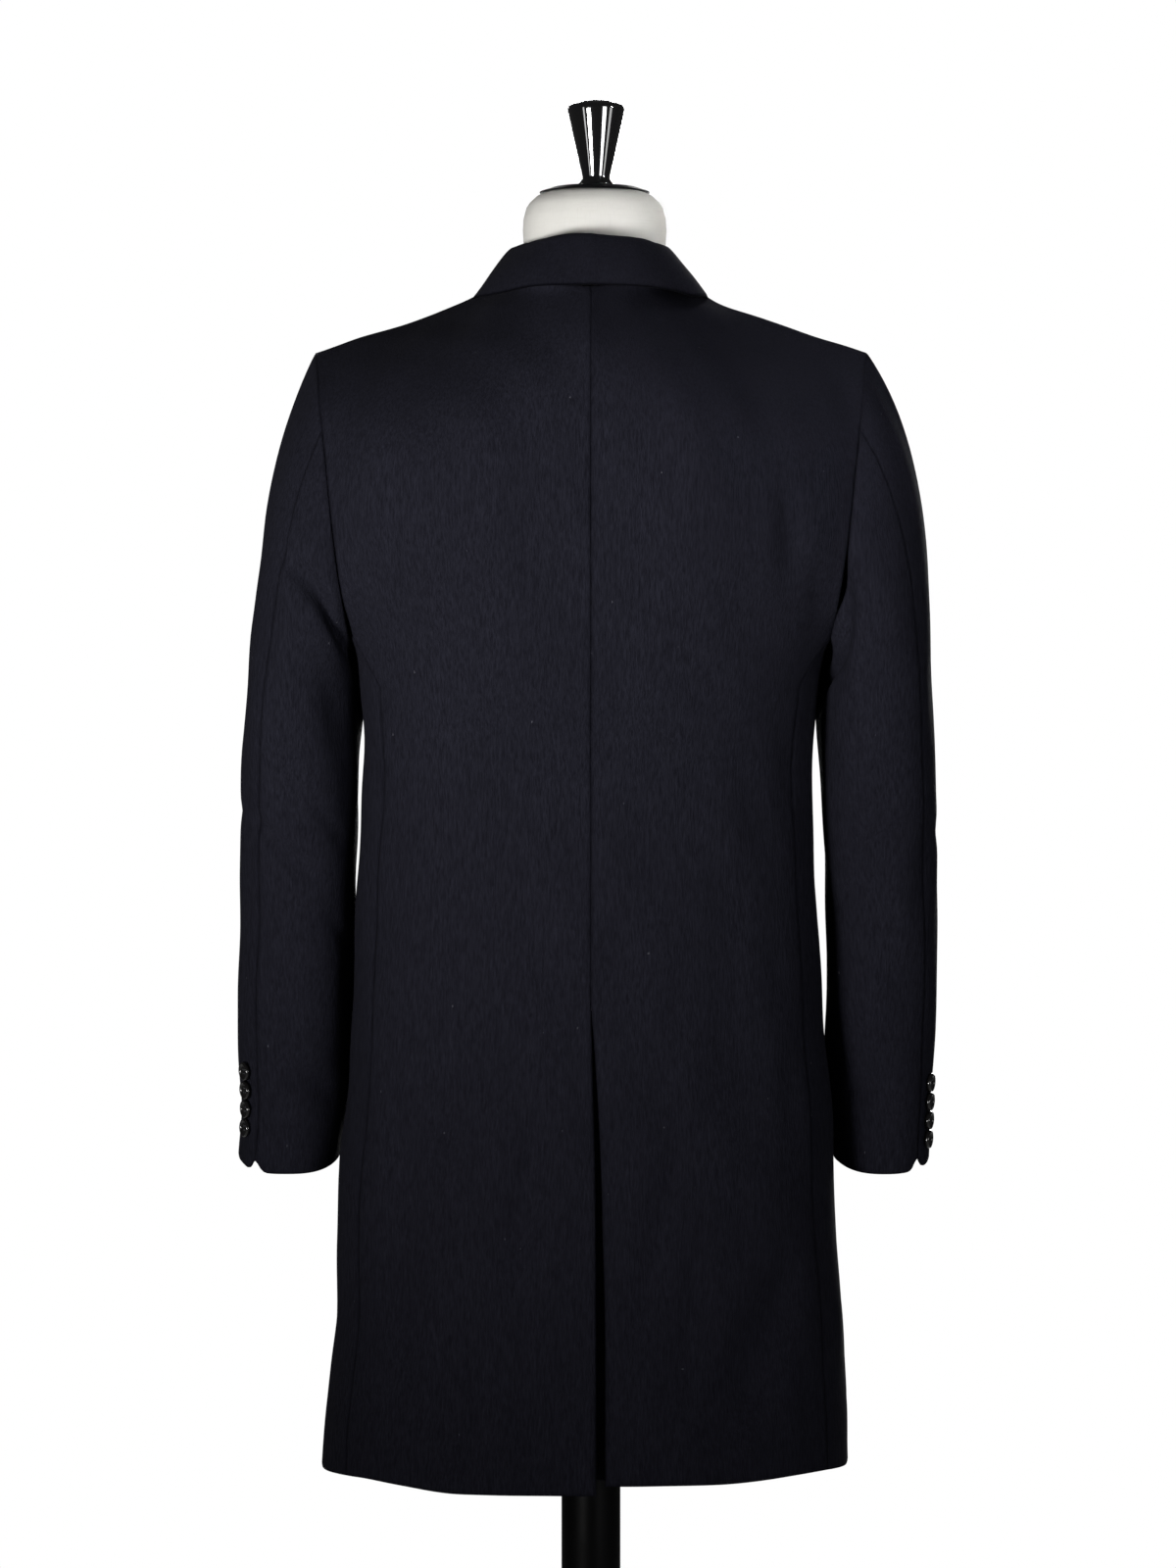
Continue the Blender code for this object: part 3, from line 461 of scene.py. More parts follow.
# Soft folds seen from behind: from one point to another, bowed aside, a width and a depth
Fold = namedtuple("Fold", "x z to_x to_z bow wide deep")
BACK_FOLDS = {
    LEFT: [
        Fold(0.158, 1.392, 0.176, 1.256, -0.006, 0.0150, 0.0044),
        Fold(0.186, 1.330, 0.188, 1.238, 0.002, 0.0090, 0.0027),
        Fold(0.070, 1.440, 0.048, 1.240, 0.004, 0.0300, 0.0027),
        Fold(0.020, 1.180, 0.150, 1.130, 0.004, 0.0200, 0.0015),
        Fold(0.024, 0.890, 0.068, 0.712, 0.006, 0.0190, 0.0058),
        Fold(0.094, 1.020, 0.112, 0.760, 0.008, 0.0280, 0.0037),
        Fold(0.150, 0.900, 0.160, 0.600, -0.006, 0.0250, 0.0051),
        Fold(0.108, 0.720, 0.100, 0.558, 0.004, 0.0240, 0.0048),
        Fold(0.052, 0.670, 0.046, 0.556, 0.002, 0.0200, 0.0031),
        Fold(0.199, 0.800, 0.202, 0.690, 0.001, 0.0070, -0.0031),
    ],
    RIGHT: [
        Fold(-0.156, 1.388, -0.172, 1.262, 0.005, 0.0150, 0.0037),
        Fold(-0.182, 1.318, -0.184, 1.240, 0.001, 0.0080, 0.0022),
        Fold(-0.066, 1.430, -0.052, 1.230, 0.003, 0.0300, 0.0024),
        Fold(-0.030, 1.160, -0.140, 1.118, 0.003, 0.0180, 0.0014),
        Fold(-0.068, 0.866, -0.028, 0.650, -0.006, 0.0180, 0.0058),
        Fold(-0.176, 0.764, -0.108, 0.572, 0.010, 0.0300, 0.0088),
        Fold(-0.112, 1.000, -0.128, 0.800, 0.006, 0.0260, 0.0041),
        Fold(-0.090, 0.800, -0.076, 0.580, 0.004, 0.0220, 0.0037),
        Fold(-0.160, 0.930, -0.172, 0.820, 0.002, 0.0160, 0.0034),
    ],
}
HEM_TURN = 0.064  # how deep the hem is turned up inside; its pressed edge just shows
HEM_PRESS, HEM_LINE = 0.00035, 0.0022
SIDE_FADE = 0.022
FOLD_END = 0.4  # the share of a fold's length over which each end dies away
FOLD_NARROW, FOLD_WIDENS = 0.75, 0.35  # a fold opens out along its length
FOLD_BESIDE = 0.55  # how much the cloth swells beside a fold
FOLD_TURN = 2.2  # how soon the folds die where the panel turns to the side

NAVY, NAVY_TIP = (0.0051, 0.0051, 0.0078), (0.0120, 0.0122, 0.0184)
# The lint's colour, and the near-black colour of the painted shade along seams and turned edges
LINT, PAINTED_SEAM_SHADE = (0.12, 0.12, 0.14), (0.001, 0.001, 0.002)
UPWARD_PAINTED_SHADE = 0.16  # painted shade: the share by which cloth that faces upwards is painted darker
SATIN, SATIN_SLUB = (0.0040, 0.0042, 0.0075), (0.0060, 0.0062, 0.0100)


def run_along(lines):
    """How far each point lies along its line from the line's first point."""
    steps = np.linalg.norm(np.diff(lines, axis=0), axis=-1)
    return np.concatenate([np.zeros((1, *steps.shape[1:])), np.cumsum(steps, axis=0)])


def soft_step(share):
    """A share from 0 to 1 that starts and ends gently."""
    return share * share * (3 - 2 * share)


def curve(points, count, steps=24):
    """Count points evenly spaced along a smooth curve through the given ones."""
    pts = np.array(points, float)
    ends = np.vstack([2 * pts[0] - pts[1], pts, 2 * pts[-1] - pts[-2]])
    t = np.linspace(0, 1, steps, endpoint=False)[:, None]
    fine = []
    for before, start, end, after in zip(ends, ends[1:], ends[2:], ends[3:]):
        bend = 2 * before - 5 * start + 4 * end - after
        twist = 3 * start - before - 3 * end + after
        fine.append(0.5 * (2 * start + (end - before) * t + bend * t**2 + twist * t**3))
    fine = np.vstack([*fine, pts[-1:]])
    length = run_along(fine)
    wanted = np.linspace(0, length[-1], count)
    return np.stack([np.interp(wanted, length, fine[:, k]) for k in range(3)], axis=1)


def on_side(points, side):
    """Points given for the left, on the side asked for."""
    return np.array(points, float) * (side, 1, 1)


def section_point(side, degrees, z):
    """Points of the body's level sections: 90 is the centre back, 0 the side, -90 the centre front."""
    degrees, z = np.broadcast_arrays(np.asarray(degrees, float), np.asarray(z, float))
    c, s = np.cos(np.radians(degrees)), np.sin(np.radians(degrees))
    depth = np.where(s > 0, smooth(SECTIONS, "back", z), smooth(SECTIONS, "front", z))
    x = side * smooth(SECTIONS, SIDE_NAMES[side], z) * squared(c, BODY_ROUNDNESS)
    return np.stack([x, depth * squared(s, BODY_ROUNDNESS), z], axis=-1)


def swept(bottom, top):
    """Columns from the chest section up to their top points, upright at first, then over the shoulder."""
    rise, reach = top[:, 2] - bottom[:, 2], bottom[:, 1] - top[:, 1]
    leave = np.stack([0 * rise, LEAVE_FULL * reach, LEAVE_UP * rise], axis=1)
    arrive = np.stack([0 * rise, -ARRIVE_FULL * reach, ARRIVE_UP * rise], axis=1)
    t = np.linspace(0, 1, SIDE_SEAM_ROWS + ARMHOLE_ROWS + 1)[:, None, None]
    return bridged(bottom, leave, top, arrive, t)


def eased(patch, passes):
    """A patch evened out between its borders."""
    for _ in range(passes):
        around = patch[:-2, 1:-1] + patch[2:, 1:-1] + patch[1:-1, :-2] + patch[1:-1, 2:]
        patch[1:-1, 1:-1] = (patch[1:-1, 1:-1] + around / 4) / 2
    return patch


def upper_patch(bottom, top, first, last):
    """The chest or back over its level section, fitted to its two side lines and no wider than the armhole."""
    columns = swept(bottom, top)
    across = np.linspace(0, 1, len(bottom))[None, :, None]
    first_miss, last_miss = (first - columns[:, 0])[:, None, :], (last - columns[:, -1])[:, None, :]
    patch = eased(columns + first_miss * (1 - across) ** 2 + last_miss * across**2, EASE_PASSES)
    armhole_x = np.maximum(abs(last[:, 0]), UNDERARM_SEAM_TOP[0])
    widest = np.interp(patch[..., 2], np.maximum.accumulate(last[:, 2]), armhole_x) - INSIDE_ARMHOLE
    widest[:, -1] = np.inf
    side = np.sign(top[-1, 0])
    patch[..., 0] = side * np.minimum(side * patch[..., 0], widest)
    return eased(patch, LAST_PASSES)


def armhole(side, points):
    """The side line of a panel: up the side seam, then round the armhole to the shoulder point."""
    seam = on_side([section_point(LEFT, SIDE_SEAM_DEG, CHEST_Z), UNDERARM_SEAM_TOP], side)
    seam[0] = section_point(side, SIDE_SEAM_DEG, CHEST_Z)
    seam = seam[0] + (seam[1] - seam[0]) * np.linspace(0, 1, SIDE_SEAM_ROWS + 1)[:-1, None]
    return np.vstack([seam, curve(on_side([UNDERARM_SEAM_TOP, *points, SHOULDER_POINT], side), ARMHOLE_ROWS + 1)])


def shoulder_seam(side):
    """The seam from the neck to the shoulder point, that a back and a front share."""
    return curve(on_side([NECK_SIDE, *SHOULDER_LINE, SHOULDER_POINT], side), SHOULDER_COLUMNS + 1)


def panel_below(side, degrees, hem):
    """The level rows from the hem to the chest, the lowest at the hem's own heights."""
    heights = np.linspace(SECTIONS[0].z, CHEST_Z, LOWER_ROWS + 1)
    grid = section_point(side, degrees[None, :], heights[:, None])
    share = np.linspace(0, 1, len(degrees))
    if grid[0, 0, 1] > 0:
        share = soft_step(np.clip((abs(grid[0, :, 0]) - HEM_RISE_X) / HEM_RISE_OVER, 0, 1))
        share = share / share[-1]
    sag = hem + (HEM_SIDE_Z[side] - hem) * share - heights[0]
    fade = np.clip(1 - (heights - heights[0]) / HEM_SAG_Z, 0, 1)
    grid[..., 2] += fade[:, None] * sag[None, :]
    return grid


def back_grid(side):
    """Points of a back panel, hem to top, centre back to side."""
    neck = curve(on_side([NECK_BACK, *NECK_LINE, NECK_SIDE], side), NECK_COLUMNS + 1)
    top = np.vstack([neck[:-1], shoulder_seam(side)])
    widest = abs(section_point(side, SIDE_SEAM_DEG, CHEST_Z)[0])
    shares = abs(top[:, 0]) / SHOULDER_POINT[0] * widest / getattr(SECTIONS[-1], SIDE_NAMES[side])
    degrees = np.degrees(np.arccos(shares ** (BODY_ROUNDNESS / 2)))
    lower = panel_below(side, degrees, HEM_BACK_Z[side])
    middle = swept(lower[-1, :1], top[:1])[:, 0]
    grid = np.concatenate([lower[:-1], upper_patch(lower[-1], top, middle, armhole(side, ARMHOLE_BACK))])
    edge = smooth(VENT, SIDE_NAMES[side], np.minimum(grid[:, 0, 2], VENT_TOP_Z))
    grid[..., 0] += np.outer(edge, (1 - np.linspace(0, 1, len(top))) ** VENT_FADE)
    return grid


def finely_edged(grid):
    """The grid with extra rows and columns close beside each border, where the cloth turns."""
    for _ in range(2):
        near = [grid[:1] + (grid[1:2] - grid[:1]) * share for share in EDGE_SHARES]
        far = [grid[-1:] + (grid[-2:-1] - grid[-1:]) * share for share in EDGE_SHARES[::-1]]
        grid = np.concatenate([grid[:1], *near, grid[1:-1], *far, grid[-1:]]).swapaxes(0, 1)
    return grid


def grid_normals(grid, axis):
    """Unit normals that point away from an upright axis."""
    normals = np.cross(np.gradient(grid, axis=0), np.gradient(grid, axis=1))
    normals /= np.maximum(np.linalg.norm(normals, axis=2, keepdims=True), 1e-12)
    away = (normals * (grid - (*axis, 0)) * (1, 1, 0)).sum()
    return normals if away > 0 else -normals


def from_borders(grid):
    """How far each point lies from the nearest border of its piece, along the cloth."""
    down, across = run_along(grid), run_along(grid.swapaxes(0, 1))
    return np.minimum(np.minimum(down, down[-1] - down), np.minimum(across, across[-1] - across).T)


def folded(across, up, table):
    """How far the cloth stands out or in at (across, up) under a table of soft folds."""
    height = np.zeros_like(across)
    for fold in table:
        start = np.array([fold[0], fold[1]])
        run = np.array([fold[2], fold[3]]) - start
        length = np.linalg.norm(run)
        run /= length
        along = ((across - start[0]) * run[0] + (up - start[1]) * run[1]) / length
        held = np.clip(along, 0, 1)
        aside = (up - start[1]) * run[0] - (across - start[0]) * run[1] - fold.bow * 4 * held * (1 - held)
        ends = np.clip(along / FOLD_END, 0, 1) * np.clip((1 - along) / FOLD_END, 0, 1)
        share = (aside / (fold.wide * (FOLD_NARROW + FOLD_WIDENS * held))) ** 2
        height -= fold.deep * soft_step(ends) * (1 - FOLD_BESIDE * share) * np.exp(-share)
    return height


def long_waves(points, height):
    """The coat's own slight unevenness, longer down it than across, unbroken from panel to panel."""
    draw = np.random.default_rng(UNEVEN_SEED)
    total = np.zeros(points.shape[:2])
    for _ in range(UNEVEN_WAVES):
        reach = 2 * math.pi / draw.uniform(SHORTEST_WAVE, LONGEST_WAVE)
        total += np.sin((points * reach * draw.choice([-1, 1], 3)).sum(axis=2) + draw.uniform(0, 2 * math.pi))
    return height * total / math.sqrt(UNEVEN_WAVES / 2)


def shell(outer, normals, thick, edge, lined):
    """Points and faces of a closed cloth wall, its turned edges rounded, and which faces show the lining."""
    roll = EDGE_ROLL * np.exp(-((edge / EDGE_REACH) ** 2))[..., None]
    rows, columns = outer.shape[:2]
    layers = (outer - normals * roll, outer - normals * (thick - 0.4 * roll))
    points = np.concatenate([layer.reshape(-1, 3) for layer in layers])
    at = np.arange(rows * columns).reshape(rows, columns)
    under = at + rows * columns
    quads = [at[:-1, :-1], at[:-1, 1:], at[1:, 1:], at[1:, :-1]]
    faces = np.stack(quads, axis=-1).reshape(-1, 4)
    inside = np.stack([quad + rows * columns for quad in quads[::-1]], axis=-1).reshape(-1, 4)
    border = np.concatenate([at[0, :-1], at[:-1, -1], at[-1, :0:-1], at[:0:-1, 0]])
    beneath = np.concatenate([under[0, :-1], under[:-1, -1], under[-1, :0:-1], under[:0:-1, 0]])
    rim = np.stack([np.roll(border, -1), border, beneath, np.roll(beneath, -1)], axis=-1)
    shows = np.concatenate([np.zeros(len(faces), bool), lined[:-1, :-1].reshape(-1), np.zeros(len(rim), bool)])
    return points, np.concatenate([faces, inside, rim]).tolist(), shows


def cloth_piece(name, grid, axis, stands_for, folds=None, hem_z=None, facing=0.0, thick=CLOTH, shade=1.0):
    """A sewn panel: a thin shell on its grid, with its folds, waves, rounded edges and lining, and painted shade
    along its borders.
    """
    grid = finely_edged(grid)
    normals = grid_normals(grid, axis)
    edge = from_borders(grid)
    height = long_waves(grid, UNEVEN)
    if folds is not None:
        height += folds(grid, normals)
    if hem_z is not None:
        height -= HEM_PRESS * np.exp(-(((grid[..., 2] - hem_z - HEM_TURN) / HEM_LINE) ** 2))
    outer = grid + normals * height[..., None]
    lined = np.full(grid.shape[:2], hem_z is not None)
    if hem_z is not None:
        lined = (grid[..., 2] > hem_z + HEM_TURN) & (run_along(grid.swapaxes(0, 1)).T >= facing)
    points, faces, shows = shell(outer, grid_normals(outer, axis), thick, edge, lined)
    piece = made_piece(name, points, faces, wool, [stands_for], "navy_wool")
    piece.data.materials.append(satin)
    piece.data.polygons.foreach_set("material_index", shows.astype(np.int32))
    # Painted shade: a point attribute, strongest at the piece's borders, by which the wool is painted towards
    # near-black along seams and turned edges.
    near = piece.data.attributes.new("edge", "FLOAT", "POINT")
    shades = shade * np.exp(-((edge / EDGE_SHADE) ** 2)).reshape(-1)
    near.data.foreach_set("value", np.tile(shades, 2).astype(np.float32))
    return piece


def napping():
    """Wool brushed downwards: fine streaks of nap, thicker tufts, broad brushed patches and lint."""
    group, takes, gives = effect(
        "napping",
        [("Wool", "Color", (0, 0, 0, 1)), ("Tip", "Color", (1, 1, 1, 1)), ("Lint", "Color", (1, 1, 1, 1)),
         ("Streaks", "Float", 0.6), ("Lint amount", "Float", 0.5), ("Coarseness", "Float", 1.0)],
        [("Colour", "Color"), ("Roughness", "Float"), ("Height", "Float")],
    )
    place = node(group, "TexCoord", {}).outputs["Object"]
    scaled = node(group, "VectorMath", {0: place, 1: takes["Coarseness"]}, operation="MULTIPLY").outputs[0]
    looks = []
    for scale, detail in (((1400, 1400, 170), 1.5), ((640, 640, 78), 2.0), ((19, 19, 9), 4.0)):
        stretched = node(group, "Mapping", {"Vector": scaled, "Scale": scale}).outputs[0]
        noise = {"Vector": stretched, "Scale": 1.0, "Detail": detail, "Roughness": 0.55, "Distortion": 0.35}
        looks.append(node(group, "TexNoise", noise).outputs["Fac"])
    fine, tufts, patches = looks
    both = node(group, "Math", {0: tufts, 1: 1.1, 2: fine}, operation="MULTIPLY_ADD").outputs[0]
    streak = spread(group, both, 0.78, 1.36, 0, 1)
    patch = spread(group, patches, 0.30, 0.70, 0.70, 1.0)
    share = product(group, product(group, streak, patch), takes["Streaks"])
    nap = mixed(group, share, takes["Wool"], takes["Tip"])
    grain = node(group, "Mapping", {"Vector": place, "Scale": (330, 330, 210)}).outputs[0]
    motes = node(group, "TexNoise", {"Vector": grain, "Scale": 1.0, "Detail": 0.0}).outputs["Fac"]
    lint = product(group, spread(group, motes, 0.893, 0.910, 0, 1), takes["Lint amount"])
    group.links.new(mixed(group, lint, nap, takes["Lint"]), gives["Colour"])
    group.links.new(spread(group, both, 0.75, 1.35, 0.98, 0.84), gives["Roughness"])
    group.links.new(both, gives["Height"])
    return group


def napped_wool(name, colour, tip, streaks, lint, coarse, relief, painted_seam_shade):
    """Brushed wool, with painted shade along its seams and turned edges and on the cloth that faces upwards."""
    material, tree, shader = surface(name, Sheen_Weight=0.004, Sheen_Roughness=0.4, Specular_IOR_Level=0.03)
    brushed = node(tree, "Group", {}, node_tree=nap_group)
    colours = {"Wool": (*colour, 1), "Tip": (*tip, 1), "Lint": (*LINT, 1)}
    for title, value in {**colours, "Streaks": streaks, "Lint amount": lint, "Coarseness": coarse}.items():
        brushed.inputs[title].default_value = value
    # Painted shade: the colour is mixed towards near-black by the edge attribute, along seams and turned edges.
    edge = node(tree, "Attribute", {}, attribute_name="edge").outputs["Fac"]
    darker = mixed(tree, product(tree, edge, painted_seam_shade), brushed.outputs["Colour"], (*PAINTED_SEAM_SHADE, 1))
    # Painted shade: the colour is darkened where the cloth faces upwards, over the yoke and the shoulders.
    upward = node(tree, "SeparateXYZ", {0: node(tree, "NewGeometry", {}).outputs["Normal"]}).outputs["Z"]
    kept = spread(tree, upward, 0.22, 0.50, 1, 1 - UPWARD_PAINTED_SHADE)
    seen = node(tree, "VectorMath", {0: darker, 1: kept}, operation="MULTIPLY").outputs[0]
    tree.links.new(seen, shader["Base Color"])
    tree.links.new(brushed.outputs["Roughness"], shader["Roughness"])
    bump = node(tree, "Bump", {"Height": brushed.outputs["Height"], "Strength": 0.85, "Distance": relief})
    tree.links.new(bump.outputs["Normal"], shader["Normal"])
    return material


def back_folds(side):
    """The folds of one back panel, fading towards its side seam."""
    def height(grid, normals):
        from_side = run_along(grid.swapaxes(0, 1)[::-1])[::-1].T
        fade = np.clip(normals[..., 1] * FOLD_TURN, 0, 1) * (1 - np.exp(-((from_side / SIDE_FADE) ** 2)))
        return folded(grid[..., 0], grid[..., 2], BACK_FOLDS[side]) * fade
    return height


nap_group = napping()
wool = napped_wool(
    "navy_wool", NAVY, NAVY_TIP, streaks=0.9, lint=0.30, coarse=1.0, relief=0.00045, painted_seam_shade=0.5,
)
satin = woven_finish("lining_satin", SATIN, SATIN_SLUB, yarns=2600.0, slubs=0.4, relief=0.00003, Roughness=0.38)
for side in (LEFT, RIGHT):
    cloth_piece(
        f"back_panel_{SIDE_NAMES[side]}", back_grid(side), (0, 0), f"back_{SIDE_NAMES[side]}",
        folds=back_folds(side), hem_z=HEM_BACK_Z[side],
    )

# ------------------------------------------------------------------------------------------
# Vent underlap: the right back's allowance beside the vent, turned in and running on behind
# the left panel, faced with the same wool.

UNDERLAP_REACH = 0.034
UNDERLAP_SHORT = 0.003
UNDERLAP_ROWS, UNDERLAP_COLUMNS = 64, 14
UNDERLAP_TURN, UNDERLAP_OFF = 0.0022, 0.0034
UNDERLAP_SLANT = 0.001  # how much deeper it lies by its middle, and three times as much by its edge

heights = np.linspace(HEM_BACK_Z[RIGHT] + UNDERLAP_SHORT, VENT_TOP_Z - 2 * UNDERLAP_SHORT, UNDERLAP_ROWS)
rows = []
for z in heights:
    edge_x, depth = float(smooth(VENT, "right", z)), float(smooth(VENT, "depth", z))
    face = section_point(LEFT, 90.0, z)[1] - UNDERLAP_OFF
    corner = [(edge_x, face, z), (edge_x, face - depth / 2, z), (edge_x, face - depth + UNDERLAP_TURN, z)]
    tail = [(edge_x + UNDERLAP_TURN, face - depth, z), (UNDERLAP_REACH / 2, face - depth - UNDERLAP_SLANT, z)]
    end = (UNDERLAP_REACH, face - depth - 3 * UNDERLAP_SLANT, z)
    rows.append(curve([*corner, *tail, end], UNDERLAP_COLUMNS))
cloth_piece("vent_underlap_facing", np.array(rows), (0, 0), "vent_underlap")

# ------------------------------------------------------------------------------------------
# Fronts: two panels of the same wool, each with an armhole, a shoulder and a button edge.
# The left laps over the right; the edge is faced inside and turns back along the roll line.

FRONT_COLUMNS = SHOULDER_COLUMNS
FRONT_EDGE_DEG = -96.0
UNDERLAP_IN, UNDERLAP_FROM_X, UNDERLAP_FADE = 0.0090, -0.075, 0.050
UNDERLAP_TOP_Z, UNDERLAP_FADE_Z = 1.36, 0.10
FRONT_FACING = 0.090
ARMHOLE_FRONT = [
    (0.1925, 0.0000, 1.2330),
    (0.1915, -0.0450, 1.2480),
    (0.1960, -0.0700, 1.3000),
    (0.2080, -0.0650, 1.3700),
    (0.2190, -0.0400, 1.4350),
]
ROLL_LINE = [
    (0.0000, -0.1330, 1.2700),
    (0.0200, -0.1240, 1.3500),
    (0.0380, -0.1090, 1.4200),
    (0.0540, -0.0860, 1.4720),
    (0.0690, -0.0430, 1.5120),
]
FRONT_FOLDS = {
    LEFT: [
        Fold(0.168, 1.372, 0.150, 1.240, 0.006, 0.0160, 0.0034),
        Fold(0.184, 1.300, 0.172, 1.180, 0.004, 0.0120, 0.0023),
        Fold(0.090, 1.170, 0.012, 1.168, 0.002, 0.0130, 0.0016),
        Fold(0.120, 1.130, 0.110, 0.880, -0.006, 0.0240, 0.0026),
        Fold(0.020, 0.925, 0.070, 0.640, 0.008, 0.0230, 0.0042),
        Fold(0.100, 0.820, 0.118, 0.570, 0.004, 0.0260, 0.0044),
        Fold(0.160, 0.960, 0.170, 0.620, -0.005, 0.0220, 0.0034),
        Fold(0.060, 1.050, 0.030, 0.960, 0.002, 0.0160, 0.0016),
    ],
    RIGHT: [
        Fold(-0.166, 1.366, -0.152, 1.236, -0.005, 0.0160, 0.0031),
        Fold(-0.182, 1.296, -0.174, 1.196, 0.003, 0.0110, 0.0021),
        Fold(-0.106, 1.150, -0.050, 1.168, 0.002, 0.0120, 0.0013),
        Fold(-0.118, 1.110, -0.104, 0.900, 0.006, 0.0230, 0.0023),
        Fold(-0.052, 0.900, -0.084, 0.650, -0.006, 0.0210, 0.0039),
        Fold(-0.120, 0.840, -0.140, 0.580, -0.005, 0.0250, 0.0047),
        Fold(-0.166, 0.940, -0.176, 0.700, 0.004, 0.0200, 0.0031),
    ],
}


def front_grid(side):
    """Points of a front panel, hem to top, button edge to side."""
    degrees = np.linspace(FRONT_EDGE_DEG, SIDE_SEAM_DEG, FRONT_COLUMNS + 1)
    lower = panel_below(side, degrees, HEM_FRONT_Z)
    roll = [lower[-1, 0], *on_side(ROLL_LINE, side), on_side(NECK_SIDE, side)]
    roll = curve(roll, SIDE_SEAM_ROWS + ARMHOLE_ROWS + 1)
    upper = upper_patch(lower[-1], shoulder_seam(side), roll, armhole(side, ARMHOLE_FRONT))
    grid = np.concatenate([lower[:-1], upper])
    if side == RIGHT:
        near_edge = np.clip((grid[..., 0] - UNDERLAP_FROM_X) / UNDERLAP_FADE, 0, 1)
        below_roll = np.clip((UNDERLAP_TOP_Z - grid[..., 2]) / UNDERLAP_FADE_Z, 0, 1)
        tucked = np.where(grid[..., 1] < 0, near_edge * below_roll, 0)
        grid[..., 1] += UNDERLAP_IN * soft_step(tucked)
    return grid


def front_folds(side):
    """The folds of one front panel, fading where the cloth turns to the side."""
    def height(grid, normals):
        return folded(grid[..., 0], grid[..., 2], FRONT_FOLDS[side]) * np.clip(-normals[..., 1] * FOLD_TURN, 0, 1)
    return height


fronts = {}
for side in (LEFT, RIGHT):
    fronts[side] = front_grid(side)
    cloth_piece(
        f"front_panel_{SIDE_NAMES[side]}", fronts[side], (0, 0), f"front_{SIDE_NAMES[side]}",
        folds=front_folds(side), hem_z=HEM_FRONT_Z, facing=FRONT_FACING,
    )

# ------------------------------------------------------------------------------------------
# Lapels: the facing of each front turned back over the chest, canvassed and pressed so that
# it rolls out of the front edge, with a notch under the collar and pick-stitches at its edge.

NOTCH_AT = 6.9
Turn = namedtuple("Turn", "z width")
LAPEL = [
    Turn(0.3, 0.006),
    Turn(1.0, 0.020),
    Turn(2.0, 0.036),
    Turn(3.0, 0.050),
    Turn(4.0, 0.062),
    Turn(5.0, 0.073),
    Turn(6.0, 0.083),
    Turn(NOTCH_AT, 0.092),
    Turn(7.4, 0.080),
    Turn(7.9, 0.058),
    Turn(8.3, 0.036),
]
TURN_STEP = (SIDE_SEAM_ROWS + ARMHOLE_ROWS) / 11  # the table counts in elevenths of the chest's height
LAPEL_ROWS, LAPEL_COLUMNS = 72, 26
LAPEL_OFF, LAPEL_BELLY = 0.0017, 0.0022
PICK_IN, PICK_STEP, PICK_DEEP, PICK_WIDE = 0.0042, 0.0062, 0.0007, 0.0011


def on_row(grid, normals, row, distances):
    """Points and normals on a grid at a row that may lie between two, at distances in from its first column."""
    low = min(int(row), len(grid) - 2)
    line, across = (a[low] * (1 - row + low) + a[low + 1] * (row - low) for a in (grid, normals))
    steps = run_along(line)
    found = [[np.interp(distances, steps, a[:, k]) for k in range(3)] for a in (line, across)]
    point, normal = (np.stack(axes, axis=-1) for axes in found)
    return point, normal / np.linalg.norm(normal, axis=-1, keepdims=True)


def pick_stitches(grid, edge):
    """Small dimples in a row beside a piece's free border, where the edge is stitched by hand."""
    run = run_along(grid[:, -1])
    beat = np.clip(np.cos(run / PICK_STEP * 2 * math.pi) * 1.6 - 0.4, 0, 1)[:, None]
    return -PICK_DEEP * beat * np.exp(-(((edge - PICK_IN) / PICK_WIDE) ** 2))


def stitched_edge(grid, normals):
    """The stitches of a turned-back piece, in the half that lies by its free edge."""
    return pick_stitches(grid, from_borders(grid)) * (np.arange(grid.shape[1]) > grid.shape[1] / 2)


def lapel_piece(side):
    """A lapel, as wide at each height of the chest as its table says."""
    name = SIDE_NAMES[side]
    normals = grid_normals(fronts[side], (0, 0))
    turns = np.linspace(LAPEL[0].z, LAPEL[-1].z, LAPEL_ROWS)
    turns = np.unique(np.concatenate([turns, [NOTCH_AT]]))
    widths = np.interp(turns, [row.z for row in LAPEL], [row.width for row in LAPEL])
    across = np.linspace(0, 1, LAPEL_COLUMNS)
    rows = []
    for turn, width in zip(turns, widths):
        point, normal = on_row(fronts[side], normals, LOWER_ROWS + turn * TURN_STEP, across * width)
        swell = LAPEL_BELLY * np.sin(math.pi * np.minimum(across * 1.25, 1)) * min(1, width / 0.05)
        rows.append(point + normal * (LAPEL_OFF + CLOTH + swell)[:, None])
    cloth_piece(f"lapel_facing_{name}", np.array(rows), (0, 0), f"lapel_{name}", folds=stitched_edge)


for side in (LEFT, RIGHT):
    lapel_piece(side)

# ------------------------------------------------------------------------------------------
# Collar: one folded piece of wool over canvas. The stand is sewn round the neck seam, the
# fall turns down over it and is pick-stitched by hand just above its lower edge.

